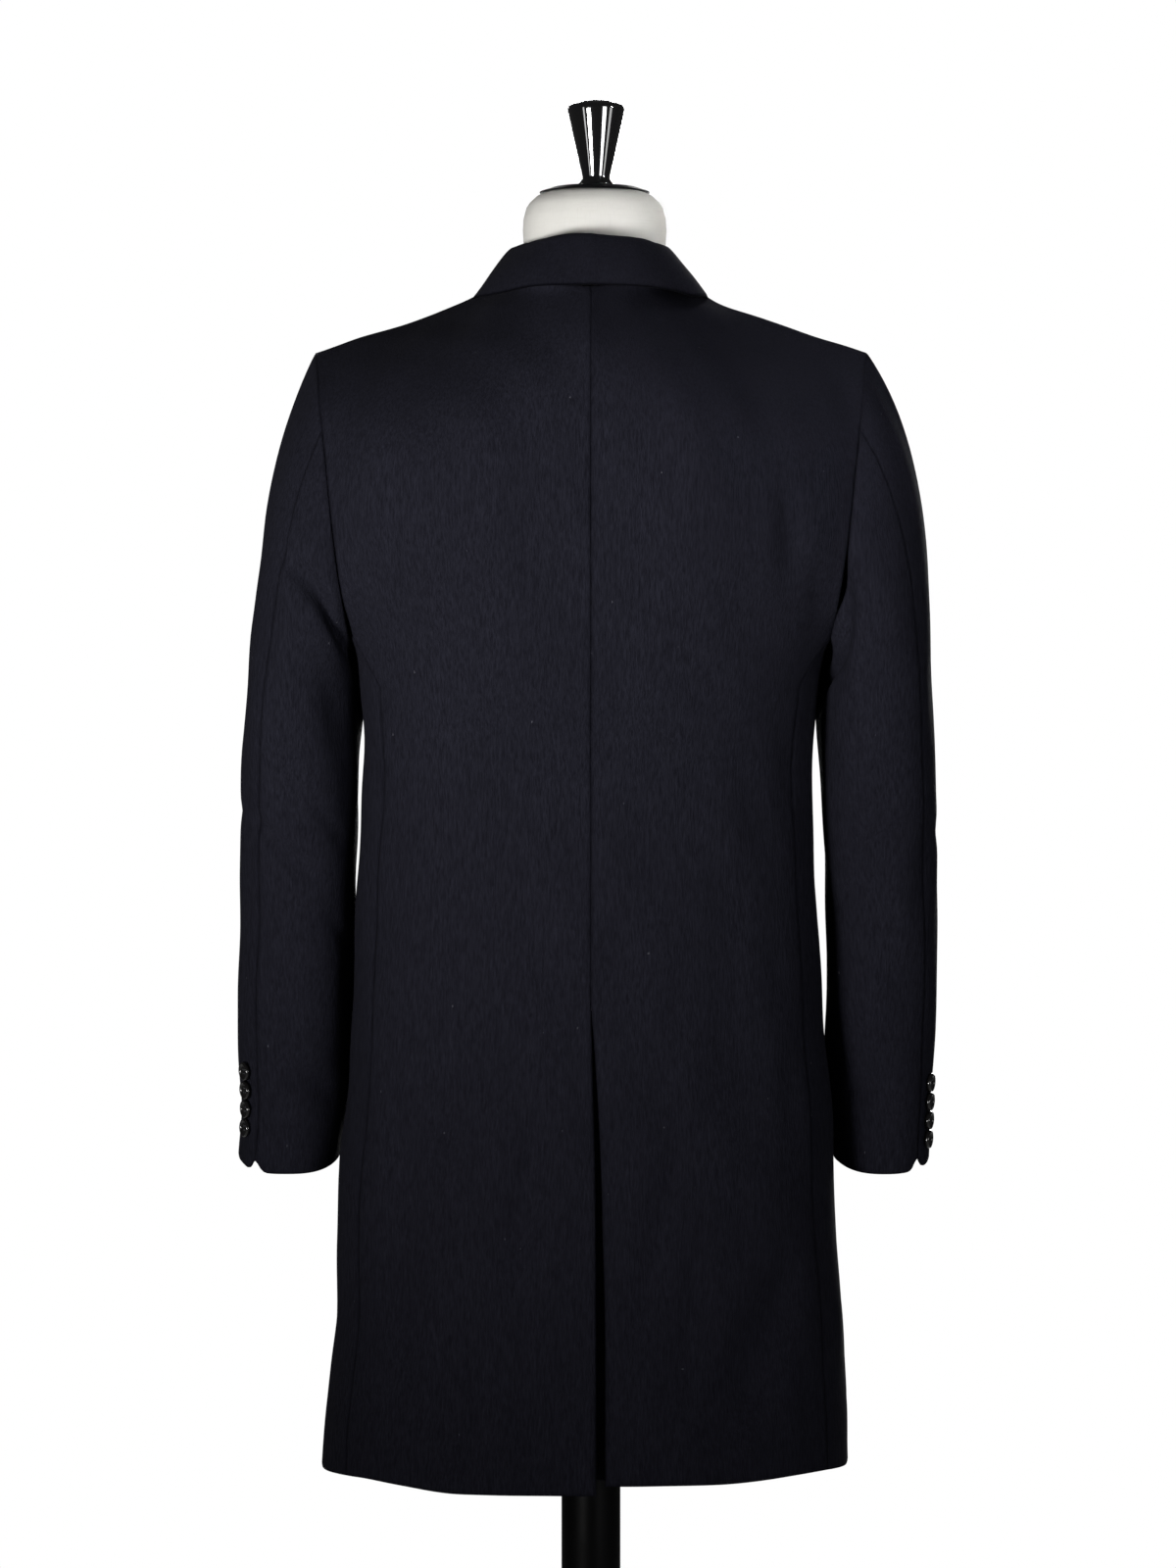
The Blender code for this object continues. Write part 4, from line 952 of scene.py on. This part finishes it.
Station = namedtuple("Station", "seam fold edge")
COLLAR = [
    Station((0.0000, 0.0900, 1.5245), (0.0000, 0.0760, 1.5645), (0.0000, 0.1035, 1.5220)),
    Station((0.0420, 0.0740, 1.5275), (0.0330, 0.0680, 1.5626), (0.0505, 0.0905, 1.5203)),
    Station((0.0690, 0.0380, 1.5330), (0.0565, 0.0370, 1.5592), (0.0842, 0.0530, 1.5165)),
    Station((0.0770, -0.0020, 1.5370), (0.0655, -0.0020, 1.5572), (0.0968, 0.0000, 1.5190)),
    Station((0.0700, -0.0420, 1.5190), (0.0650, -0.0420, 1.5420), (0.0980, -0.0428, 1.5003)),
    Station((0.0620, -0.0720, 1.4960), (0.0600, -0.0760, 1.5160), (0.0970, -0.0780, 1.4752)),
    Station((0.0560, -0.0920, 1.4760), (0.0550, -0.0960, 1.4880), (0.0955, -0.0980, 1.4514)),
]
# The roll over the fold: how far out and up from it, and how much of the fall is gone by
Roll = namedtuple("Roll", "out up fall")
COLLAR_ROLL = [
    Roll(-0.0030, -0.0060, 0.00),
    Roll(-0.0014, -0.0012, 0.00),
    Roll(0.0014, -0.0004, 0.00),
    Roll(0.0028, 0.0000, 0.16),
    Roll(0.0030, 0.0000, 0.55),
]
STAND_HOLLOW, FALL_OUT = 0.0024, 0.0004
COLLAR_STEPS, COLLAR_COLUMNS = 64, 34
STAND_HALF, COLLAR_THICK = 0.0015, 0.0024


def collar_line(seam, fold, edge):
    """The upper face of the collar across one station: up the stand, over the fold and down the fall."""
    out = (edge - seam) * (1, 1, 0)
    out /= np.linalg.norm(out)
    up, fall = np.array([0, 0, 1.0]), edge - fold
    stand = [seam - out * STAND_HALF, (seam + fold) / 2 - out * STAND_HOLLOW]
    over = [fold + out * roll.out + up * roll.up + fall * roll.fall for roll in COLLAR_ROLL]
    return curve([*stand, *over, edge + out * FALL_OUT], COLLAR_COLUMNS)


def collar_grid():
    """Lines across the collar from its left front end round the neck to its right one."""
    lines = []
    for field in Station._fields:
        half_line = curve([getattr(station, field) for station in COLLAR], COLLAR_STEPS)
        lines.append(np.vstack([half_line[:0:-1], half_line * (-1, 1, 1)]))
    return np.array([collar_line(*points) for points in zip(*lines)])


# The collar's borders get double the painted shade, which paints the shadow under its lower edge as a dark line.
cloth_piece(
    "collar_fold", collar_grid(), (0, 0), "collar", folds=stitched_edge, thick=COLLAR_THICK, shade=2.0,
)

# ------------------------------------------------------------------------------------------
# Sleeves: a top and an under sleeve set into each armhole, the head eased in over a strip of
# wadding. The hind seam runs down to a vent in the cuff; the forearm hangs a little forward.

Cuffward = namedtuple("Cuffward", "z outer_left outer_right inner_left inner_right front back")
SLEEVE = [
    Cuffward(1.195, 0.2806, 0.2782, 0.1905, 0.1890, 0.0760, 0.0700),
    Cuffward(1.150, 0.2846, 0.2806, 0.1900, 0.1885, 0.0780, 0.0640),
    Cuffward(1.100, 0.2866, 0.2825, 0.1905, 0.1890, 0.0800, 0.0560),
    Cuffward(1.050, 0.2872, 0.2834, 0.1925, 0.1915, 0.0820, 0.0490),
    Cuffward(1.000, 0.2872, 0.2836, 0.1938, 0.1930, 0.0850, 0.0430),
    Cuffward(0.950, 0.2892, 0.2840, 0.1955, 0.1936, 0.0880, 0.0370),
    Cuffward(0.900, 0.2890, 0.2808, 0.1975, 0.1965, 0.0920, 0.0300),
    Cuffward(0.860, 0.2874, 0.2795, 0.2005, 0.1982, 0.0950, 0.0240),
    Cuffward(0.805, 0.2895, 0.2775, 0.2065, 0.2008, 0.0980, 0.0180),
]
CUFF_RISE, CUFF_RISE_Z = 0.012, 0.050
CAP_ROWS, SLEEVE_ROWS = 30, 60
# How the head leaves the armhole: outwards, more so at the shoulder, forwards or back, and down
HEAD_OUT = {LEFT: 0.33, RIGHT: 0.51}
HEAD_OUT_MORE, HEAD_ALONG, HEAD_DOWN = 0.10, 0.15, -0.85
HIND_SEAM_DEG = {LEFT: 55.0, RIGHT: 47.0}
FORE_SEAM_DEG, FORE_SEAM_SHARE = 222.0, 0.70
HIND_SEAM_Z = 1.409
SLEEVE_AXIS = (0.236, -0.01)
ARC = 0.00092  # metres round the sleeve for one degree
VENT_NOTCH, VENT_NOTCH_ROUND, VENT_NOTCH_Z = 0.0085, 0.0060, 0.020
# Folds of the sleeves: degrees run from 0 at the outer side over 90 behind to 180 at the body
SleeveFold = namedtuple("SleeveFold", "deg z to_deg to_z bow wide deep")
SLEEVE_FOLDS = {
    LEFT: [
        SleeveFold(38, 1.322, 182, 1.214, 0.002, 0.0120, 0.0095),
        SleeveFold(84, 1.250, 150, 1.130, 0.006, 0.0260, 0.0050),
        SleeveFold(20, 1.420, 64, 1.180, 0.008, 0.0180, 0.0022),
        SleeveFold(30, 1.150, 60, 0.960, -0.006, 0.0200, 0.0020),
        SleeveFold(36, 1.108, 116, 1.034, 0.002, 0.0090, 0.0048),
        SleeveFold(96, 1.110, 150, 1.060, 0.003, 0.0100, 0.0022),
        SleeveFold(110, 1.020, 160, 0.985, 0.002, 0.0100, 0.0020),
        SleeveFold(66, 0.896, 150, 0.862, 0.004, 0.0120, 0.0030),
        SleeveFold(-20, 1.110, 30, 1.086, 0.002, 0.0110, 0.0016),
        SleeveFold(228, 1.130, 300, 1.080, 0.004, 0.0110, 0.0034),
        SleeveFold(236, 1.070, 306, 1.040, -0.003, 0.0110, 0.0028),
        SleeveFold(206, 1.250, 266, 1.180, 0.004, 0.0120, 0.0030),
        SleeveFold(-60, 1.420, -52, 1.250, 0.004, 0.0160, 0.0020),
        SleeveFold(-96, 1.010, -60, 0.880, 0.004, 0.0160, 0.0020),
        SleeveFold(200, 1.310, 200, 1.122, 0.000, 0.0220, -0.0062),
        SleeveFold(178, 1.070, 178, 0.790, 0.000, 0.0150, -0.0034),
    ],
    RIGHT: [
        SleeveFold(200, 1.310, 200, 1.115, 0.000, 0.0220, -0.0072),
        SleeveFold(178, 0.960, 178, 0.780, 0.000, 0.0150, -0.0046),
        SleeveFold(118, 1.350, 140, 1.180, 0.004, 0.0140, 0.0062),
        SleeveFold(128, 1.236, 190, 1.180, 0.002, 0.0080, 0.0060),
        SleeveFold(24, 1.410, 60, 1.190, 0.006, 0.0180, 0.0018),
        SleeveFold(40, 1.120, 66, 0.980, -0.005, 0.0180, 0.0018),
        SleeveFold(46, 1.100, 126, 1.056, 0.002, 0.0090, 0.0032),
        SleeveFold(104, 1.046, 160, 1.010, 0.003, 0.0100, 0.0020),
        SleeveFold(50, 0.916, 96, 0.900, 0.001, 0.0055, 0.0022),
        SleeveFold(46, 0.897, 90, 0.884, 0.001, 0.0055, 0.0020),
        SleeveFold(90, 0.880, 150, 0.862, 0.002, 0.0090, 0.0018),
        SleeveFold(-24, 1.100, 26, 1.072, 0.002, 0.0110, 0.0016),
        SleeveFold(230, 1.126, 298, 1.088, 0.004, 0.0110, 0.0032),
        SleeveFold(238, 1.060, 304, 1.036, -0.003, 0.0110, 0.0026),
        SleeveFold(204, 1.246, 262, 1.186, 0.004, 0.0120, 0.0028),
        SleeveFold(-66, 1.416, -56, 1.240, 0.004, 0.0160, 0.0018),
        SleeveFold(-90, 1.000, -62, 0.870, 0.004, 0.0160, 0.0020),
    ],
}


def sleeve_ring(side, z, turns):
    """One level section of a sleeve at the turns round it, in radians."""
    name = SIDE_NAMES[side]
    outer, inner = float(smooth(SLEEVE, "outer_" + name, z)), float(smooth(SLEEVE, "inner_" + name, z))
    back, front = float(smooth(SLEEVE, "back", z)), float(smooth(SLEEVE, "front", z))
    x = (outer + inner) / 2 + (outer - inner) / 2 * squared(np.cos(turns), BODY_ROUNDNESS)
    y = (back - front) / 2 + (back + front) / 2 * squared(np.sin(turns), BODY_ROUNDNESS)
    return np.stack([side * x, y, np.full_like(x, z)], axis=1)


def sleeve_grid(side):
    """Points of a whole sleeve, armhole to cuff, round from the shoulder point over the back."""
    back = armhole(side, ARMHOLE_BACK)[SIDE_SEAM_ROWS:][::-1]
    front = armhole(side, ARMHOLE_FRONT)[SIDE_SEAM_ROWS + 1 : -1]
    loop = np.vstack([back, front])
    count, hind = len(loop), int(np.argmin(abs(back[:, 2] - HIND_SEAM_Z)))
    under, fore = len(back) + 3, int(count * FORE_SEAM_SHARE)
    marks = [0, HIND_SEAM_DEG[side], 180, FORE_SEAM_DEG, 360]
    degrees = np.interp(np.arange(count), [0, hind, under, fore, count], marks)
    turns = np.radians(degrees)
    heights = np.linspace(SLEEVE[0].z, SLEEVE[-1].z, SLEEVE_ROWS + 1)
    rings = np.array([sleeve_ring(side, z, turns) for z in heights])
    near_cuff = np.clip(1 - (heights - heights[-1]) / CUFF_RISE_Z, 0, 1)
    rings[..., 2] += near_cuff[:, None] * CUFF_RISE * (1 - np.sin(turns))
    end, below = rings[0], sleeve_ring(side, SLEEVE[1].z, turns)
    reach = np.linalg.norm(end - loop, axis=1, keepdims=True)
    out, along = side * (HEAD_OUT[side] + HEAD_OUT_MORE * np.cos(turns)), HEAD_ALONG * np.sin(turns)
    leave = np.stack([out, along, np.full(count, HEAD_DOWN)], axis=1) * reach
    arrive = (below - end) / np.linalg.norm(below - end, axis=1, keepdims=True) * reach
    t = np.linspace(0, 1, CAP_ROWS + 1)[:-1, None, None]
    return np.concatenate([bridged(loop, leave, end, arrive, t), rings]), degrees, hind, fore


def vent_notched(grid, column):
    """The cuff's corner beside the vent rounded upwards."""
    away = np.linalg.norm(grid - grid[:, [column]], axis=2)
    low = np.clip(1 - (grid[..., 2] - grid[-1:, :, 2]) / VENT_NOTCH_Z, 0, 1)
    grid[..., 2] += VENT_NOTCH * low * np.exp(-((away / VENT_NOTCH_ROUND) ** 2))
    return grid


def sleeve_folds(side, degrees):
    """The folds of one piece of a sleeve, whose columns stand at these degrees."""
    table = [Fold(f.deg * ARC, f.z, f.to_deg * ARC, f.to_z, f.bow, f.wide, f.deep) for f in SLEEVE_FOLDS[side]]
    def height(grid, normals):
        across = finely_edged(np.repeat(degrees[None, :, None], 3, axis=0))[2, :, 0] * ARC
        return folded(np.broadcast_to(across, grid.shape[:2]), grid[..., 2], table)
    return height


top_sleeves = {}
for side in (LEFT, RIGHT):
    name, axis = SIDE_NAMES[side], (side * SLEEVE_AXIS[0], SLEEVE_AXIS[1])
    sleeve, degrees, hind, fore = sleeve_grid(side)
    around = np.concatenate([degrees[fore:] - 360, degrees[: hind + 1]])
    top = vent_notched(np.concatenate([sleeve[:, fore:], sleeve[:, : hind + 1]], axis=1), -1)
    under = vent_notched(sleeve[:, hind : fore + 1].copy(), 0)
    top_sleeves[side] = top
    cloth_piece(
        f"sleeve_top_{name}", top, axis, f"top_sleeve_{name}",
        folds=sleeve_folds(side, around), hem_z=SLEEVE[-1].z,
    )
    cloth_piece(
        f"sleeve_under_{name}", under, axis, f"under_sleeve_{name}",
        folds=sleeve_folds(side, degrees[hind : fore + 1]), hem_z=SLEEVE[-1].z,
    )

# ------------------------------------------------------------------------------------------
# Hip pocket flaps: a lined flap of wool sewn into each pocket's welt, hanging free below it,
# its lower corners rounded and its back corner standing a little off the coat.

FLAP_TOP_Z, FLAP_DEEP = 1.026, 0.058
FLAP_DEG = (-58.0, -17.0)
FLAP_ROWS, FLAP_COLUMNS = 20, 44
FLAP_THICK, FLAP_OFF, FLAP_FLARE = 0.0028, 0.0009, 0.0060
FLAP_CORNER, FLAP_CORNER_IN = 0.30, 0.126  # the rounded corners' height and width, as shares of the flap


def stitched_foot(grid, normals):
    """The stitches round a flap's foot."""
    return pick_stitches(grid.swapaxes(0, 1), from_borders(grid).T).T


def flap_piece(side):
    """A flap that lies on its front and stands off more towards its foot and its back corner."""
    down = np.linspace(0, 1, FLAP_ROWS)[:, None]
    near_foot = np.clip((down - 1 + FLAP_CORNER) / FLAP_CORNER, 0, 1)
    drawn_in = FLAP_CORNER_IN * (1 - np.sqrt(np.clip(1 - near_foot**2, 0, 1)))
    share = drawn_in + (1 - 2 * drawn_in) * np.linspace(0, 1, FLAP_COLUMNS)[None, :]
    degrees = FLAP_DEG[0] + (FLAP_DEG[1] - FLAP_DEG[0]) * share
    z = FLAP_TOP_Z - FLAP_DEEP * (down + 0 * share)
    grid = section_point(side, degrees, z)
    off = FLAP_OFF + FLAP_THICK + FLAP_FLARE * down * (0.25 + 0.75 * share**2)
    grid += off[..., None] * grid_normals(grid, (0, 0))
    name = SIDE_NAMES[side]
    cloth_piece(
        f"flap_{name}", grid, (0, 0), f"pocket_flap_{name}", folds=stitched_foot, thick=FLAP_THICK,
    )


for side in (LEFT, RIGHT):
    flap_piece(side)

# ------------------------------------------------------------------------------------------
# Front buttons: three turned horn discs with a raised rim and four holes, sewn on through
# worked buttonholes of navy twist on the lapped-over left front.

FRONT_BUTTON_Z = (1.170, 1.055, 0.940)
FRONT_BUTTON_RADIUS, CUFF_BUTTON_RADIUS = 0.0125, 0.0076
BUTTON_THICK, BUTTON_OFF = 0.0036, 0.0006
BUTTON_SIDES, BUTTON_RINGS = 56, 26
# A button's face from its middle outwards, as shares of its radius and thickness
FACE = [(0.0, 0.62), (0.45, 0.60), (0.62, 0.66), (0.74, 0.94), (0.84, 1.0), (0.93, 0.94), (1.0, 0.60)]
BACK_FACE = [(1.0, 0.34), (0.92, 0.10), (0.60, 0.0)]
HOLE_OUT, HOLE_SIZE, HOLE_DEEP, HOLE_FLARE = 0.205, 0.092, 0.55, 1.35
HORN = (0.0045, 0.0042, 0.0042)
TWIST = (0.0080, 0.0085, 0.0130)
BUTTONHOLE_LONG, BUTTONHOLE_WIDE, BUTTONHOLE_OUT = 0.029, 0.0022, 0.01102
TWIST_THICK, STITCHED_THICK = 0.0007, 0.00112
BAR_APART, BAR_LIFT, BAR_DIP = 0.0006, 0.0003, 0.0012  # the bars of thread over each button's dish


def placed(points, where, normal):
    """Points turned so that their +Z lies along a normal, with +X level, and moved to a place."""
    z = np.array(normal) / np.linalg.norm(normal)
    x = np.cross((0, 0, 1.0), z)
    x /= np.linalg.norm(x)
    return np.array(where) + np.array(points) @ np.array([x, np.cross(z, x), z])


def button_disc(radius, thick):
    """Points and faces of a turned button with a dished face and four drilled holes."""
    out = np.linspace(0, 1, BUTTON_RINGS)[1:]
    rise = np.interp(out, [share for share, _ in FACE], [share for _, share in FACE])
    profile = [(0.0, FACE[0][1]), *zip(out, rise), *BACK_FACE, (0.0, 0.0)][::-1]
    points, faces = turned([(r * radius, z * thick) for r, z in profile], BUTTON_SIDES)
    points = np.array(points)
    for x, y in ((1, 1), (1, -1), (-1, 1), (-1, -1)):
        from_hole = points[:, :2] - np.array([x, y]) * HOLE_OUT * radius
        away = np.hypot(from_hole[:, 0], from_hole[:, 1]) / (HOLE_SIZE * radius)
        sunk = HOLE_DEEP * thick * np.clip(HOLE_FLARE - away, 0, 1)
        points[:, 2] -= np.where(points[:, 2] > thick * 0.3, sunk, 0)
    return points, faces


def twist_tube(line, thick, sides=8):
    """Points and faces of a round thread along a line of points."""
    line = np.array(line, float)
    ways = np.gradient(line, axis=0)
    ways /= np.linalg.norm(ways, axis=1, keepdims=True)
    aside = np.cross(ways, (0.13, 0.21, 0.97))
    aside /= np.linalg.norm(aside, axis=1, keepdims=True)
    over = np.cross(ways, aside)
    turns = np.arange(sides) * 2 * math.pi / sides
    round_it = aside[:, None] * np.cos(turns)[None, :, None] + over[:, None] * np.sin(turns)[None, :, None]
    points = (line[:, None] + round_it * thick / 2).reshape(-1, 3)
    return points, tube_faces(len(line), sides)


def joined(parts):
    """Several (points, faces) as one."""
    points, faces = [], []
    for part_points, part_faces in parts:
        faces += [tuple(k + len(points) for k in face) for face in part_faces]
        points += [tuple(p) for p in part_points]
    return np.array(points), faces


def button_piece(name, where, normal, radius):
    """A button on its place, with the two bars of thread that cross its dish."""
    points, faces = button_disc(radius, BUTTON_THICK)
    points = placed(points + (0, 0, BUTTON_OFF), where, normal)
    piece = made_piece(name, points, faces, horn, [name.replace("horn_", "")], "black_horn")
    piece.data.set_sharp_from_angle(angle=math.radians(50))
    bars = []
    reach, lift = HOLE_OUT * radius, BUTTON_THICK * 0.60 + BUTTON_OFF
    for side_y in (-reach, reach):
        for step in (-0.5, 0.5):
            t = np.linspace(-1, 1, 9)
            level = lift + BAR_LIFT - BAR_DIP * t**4
            bar = np.stack([t * reach, side_y + step * BAR_APART + 0 * t, level], axis=1)
            bars.append(twist_tube(placed(bar, where, normal), TWIST_THICK, 6))
    made_piece(name.replace("horn", "thread"), *joined(bars), twist, slot="navy_wool")


def buttonhole(name, where, normal):
    """A worked buttonhole: an eyelet under the button and a bar of close stitches towards the edge."""
    t = np.linspace(0, 2 * math.pi, 41)
    x = np.where(np.cos(t) > 0, 0.5, -0.5) * BUTTONHOLE_LONG + np.cos(t) * BUTTONHOLE_WIDE / 2
    loop = np.stack([x, np.sin(t) * BUTTONHOLE_WIDE / 2, 0 * t + TWIST_THICK * 0.2], axis=1)
    centre = placed([(BUTTONHOLE_OUT, 0, 0)], where, normal)[0]
    made_piece(name, *twist_tube(placed(loop, centre, normal), STITCHED_THICK, 6), twist, slot="navy_wool")


horn = hard_finish(
    "black_horn", HORN, film=0.01, specks=0.02, gloss=(0.10, 0.20), skin=0.00002,
    Coat_Weight=0.4, Coat_Roughness=0.08,
)
twist = woven_finish("navy_twist", TWIST, SATIN_SLUB, yarns=2400.0, slubs=0.3, relief=0.00010, Roughness=0.7)
normals = grid_normals(fronts[LEFT], (0, 0))
for number, z in enumerate(FRONT_BUTTON_Z, 1):
    row = float(np.interp(z, fronts[LEFT][:, 0, 2], np.arange(len(fronts[LEFT]))))
    to_middle = abs(section_point(LEFT, FRONT_EDGE_DEG, z)[0])
    where, normal = on_row(fronts[LEFT], normals, row, to_middle)
    button_piece(f"horn_front_button_{number}", where, normal, FRONT_BUTTON_RADIUS)
    buttonhole(f"buttonhole_{number}", where, normal)

# ------------------------------------------------------------------------------------------
# Cuff buttons: four smaller horn buttons kissing down each top sleeve beside the hind seam,
# sewn on through the cuff's facing.

CUFF_BUTTON_Z = {LEFT: (0.8885, 0.8730, 0.8575, 0.8420), RIGHT: (0.8790, 0.8635, 0.8480, 0.8325)}
CUFF_BUTTON_IN = 0.014

for side in (LEFT, RIGHT):
    top = top_sleeves[side][:, ::-1]
    normals = grid_normals(top, (side * SLEEVE_AXIS[0], SLEEVE_AXIS[1]))
    line = [on_row(top, normals, float(row), CUFF_BUTTON_IN)[0][2] for row in range(len(top))]
    for number, z in enumerate(CUFF_BUTTON_Z[side], 1):
        row = float(np.interp(-z, -np.array(line), np.arange(len(line))))
        where, normal = on_row(top, normals, row, CUFF_BUTTON_IN)
        button_piece(f"horn_cuff_button_{SIDE_NAMES[side]}_{number}", where, normal, CUFF_BUTTON_RADIUS)

# ------------------------------------------------------------------------------------------
# Studio: a round pale floor in a white surround, softboxes on both sides and in front with small
# ones on the neck and right shoulder, two strips that only polished faces mirror, and the camera
# behind the coat at its middle height.

FLOOR_RADIUS, FLOOR_SIDES, FLOOR_Z = 3.1, 128, -0.0002
FLOOR_PALE, FLOOR_WORN = (0.62, 0.62, 0.61), (0.66, 0.66, 0.65)
FLOOR_SHOWN = 0.42
SURROUND_LIGHT, SURROUND_MIRRORED = 0.13, 0.03
CAMERA_AT, CAMERA_LENS, CAMERA_SENSOR = (0.0024, 4.5, 1.1224), 126.6, 36.0
Light = namedtuple("Light", "name place aim wide high power spread tint mirrored_only")
LIGHTS = [
    Light("key", (1.7, 2.7, 0.60), (0.08, 0.1, 1.50), 0.8, 0.8, 8.3, 36, (1.0, 0.99, 0.98), False),
    Light("fill", (-1.9, 2.8, 0.80), (-0.10, 0.0, 1.40), 0.9, 0.9, 2.5, 44, (0.98, 0.98, 1.0), False),
    Light("front", (-0.5, -3.4, 1.8), (0.0, 0.0, 1.15), 1.6, 1.8, 40.0, 100, (1.0, 1.0, 1.0), False),
    Light("neck", (-2.1, 0.9, 1.85), (-0.02, 0.0, 1.625), 0.12, 0.12, 0.105, 8, (1.0, 1.0, 0.98), False),
    Light("shoulder", (-0.85, 1.0, 3.2), (-0.19, 0.03, 1.45), 0.15, 0.15, 0.16, 11, (0.98, 0.98, 1.0), False),
    Light("left_strip", (2.43, 1.76, 0.90), (0.0, 0.0, 1.62), 0.32, 0.8, 3.0, 180, (1.0, 1.0, 1.0), True),
    Light("right_strip", (-2.6, 1.4, 0.90), (0.0, 0.0, 1.62), 0.56, 0.8, 3.6, 180, (1.0, 1.0, 1.0), True),
]

turns = np.arange(FLOOR_SIDES) * 2 * math.pi / FLOOR_SIDES
rim = np.stack([FLOOR_RADIUS * np.cos(turns), FLOOR_RADIUS * np.sin(turns), np.full(FLOOR_SIDES, FLOOR_Z)], axis=1)
floor_mesh = bpy.data.meshes.new("studio_floor")
floor_mesh.from_pydata([tuple(p) for p in rim], [], [tuple(range(FLOOR_SIDES))])
floor_material, tree, shader = surface("floor_paint", Roughness=0.75, Emission_Color=(1, 1, 0.99, 1))
place = node(tree, "TexCoord", {}).outputs["Object"]
clouds = node(tree, "TexNoise", {"Vector": place, "Scale": 1.4, "Detail": 3.0}).outputs["Fac"]
tone = spread(tree, clouds, 0.3, 0.7, 0.0, 1.0)
tree.links.new(mixed(tree, tone, (*FLOOR_PALE, 1), (*FLOOR_WORN, 1)), shader["Base Color"])
shown = node(tree, "LightPath", {}).outputs["Is Camera Ray"]
tree.links.new(product(tree, shown, FLOOR_SHOWN), shader["Emission Strength"])
floor_mesh.materials.append(floor_material)
floor = bpy.data.objects.new("studio_floor", floor_mesh)
bpy.context.scene.collection.objects.link(floor)

world = bpy.data.worlds.new("studio_surround")
bpy.context.scene.world = world
world.use_nodes = True
ground = world.node_tree.nodes["Background"]
paths = node(world.node_tree, "LightPath", {}).outputs
unseen = spread(world.node_tree, paths["Is Glossy Ray"], 0.0, 1.0, SURROUND_LIGHT, SURROUND_MIRRORED)
strength = node(world.node_tree, "Math", {0: paths["Is Camera Ray"], 1: unseen}, operation="MAXIMUM").outputs[0]
ground.inputs["Color"].default_value = (1, 1, 1, 1)
world.node_tree.links.new(strength, ground.inputs["Strength"])

for light in LIGHTS:
    lamp = bpy.data.lights.new(light.name + "_softbox", "AREA")
    lamp.shape, lamp.size, lamp.size_y = "RECTANGLE", light.wide, light.high
    lamp.energy, lamp.color, lamp.spread = light.power, light.tint, math.radians(light.spread)
    stand = bpy.data.objects.new(light.name + "_softbox", lamp)
    stand.location = light.place
    stand.rotation_euler = (Vector(light.aim) - Vector(light.place)).to_track_quat("-Z", "Y").to_euler()
    stand.visible_camera, stand.visible_diffuse = False, not light.mirrored_only
    bpy.context.scene.collection.objects.link(stand)

camera_data = bpy.data.cameras.new("camera")
camera_data.lens, camera_data.sensor_width = CAMERA_LENS, CAMERA_SENSOR
camera_data.dof.use_dof = False
camera = bpy.data.objects.new("camera", camera_data)
camera.location = CAMERA_AT
camera.rotation_euler = (math.radians(90), 0, math.radians(180))
bpy.context.scene.collection.objects.link(camera)
bpy.context.scene.camera = camera
bpy.context.scene.view_settings.view_transform = "Standard"

for item in [o for o in bpy.context.scene.objects if o.name in ("Cube", "Light", "Camera")]:
    bpy.data.objects.remove(item)
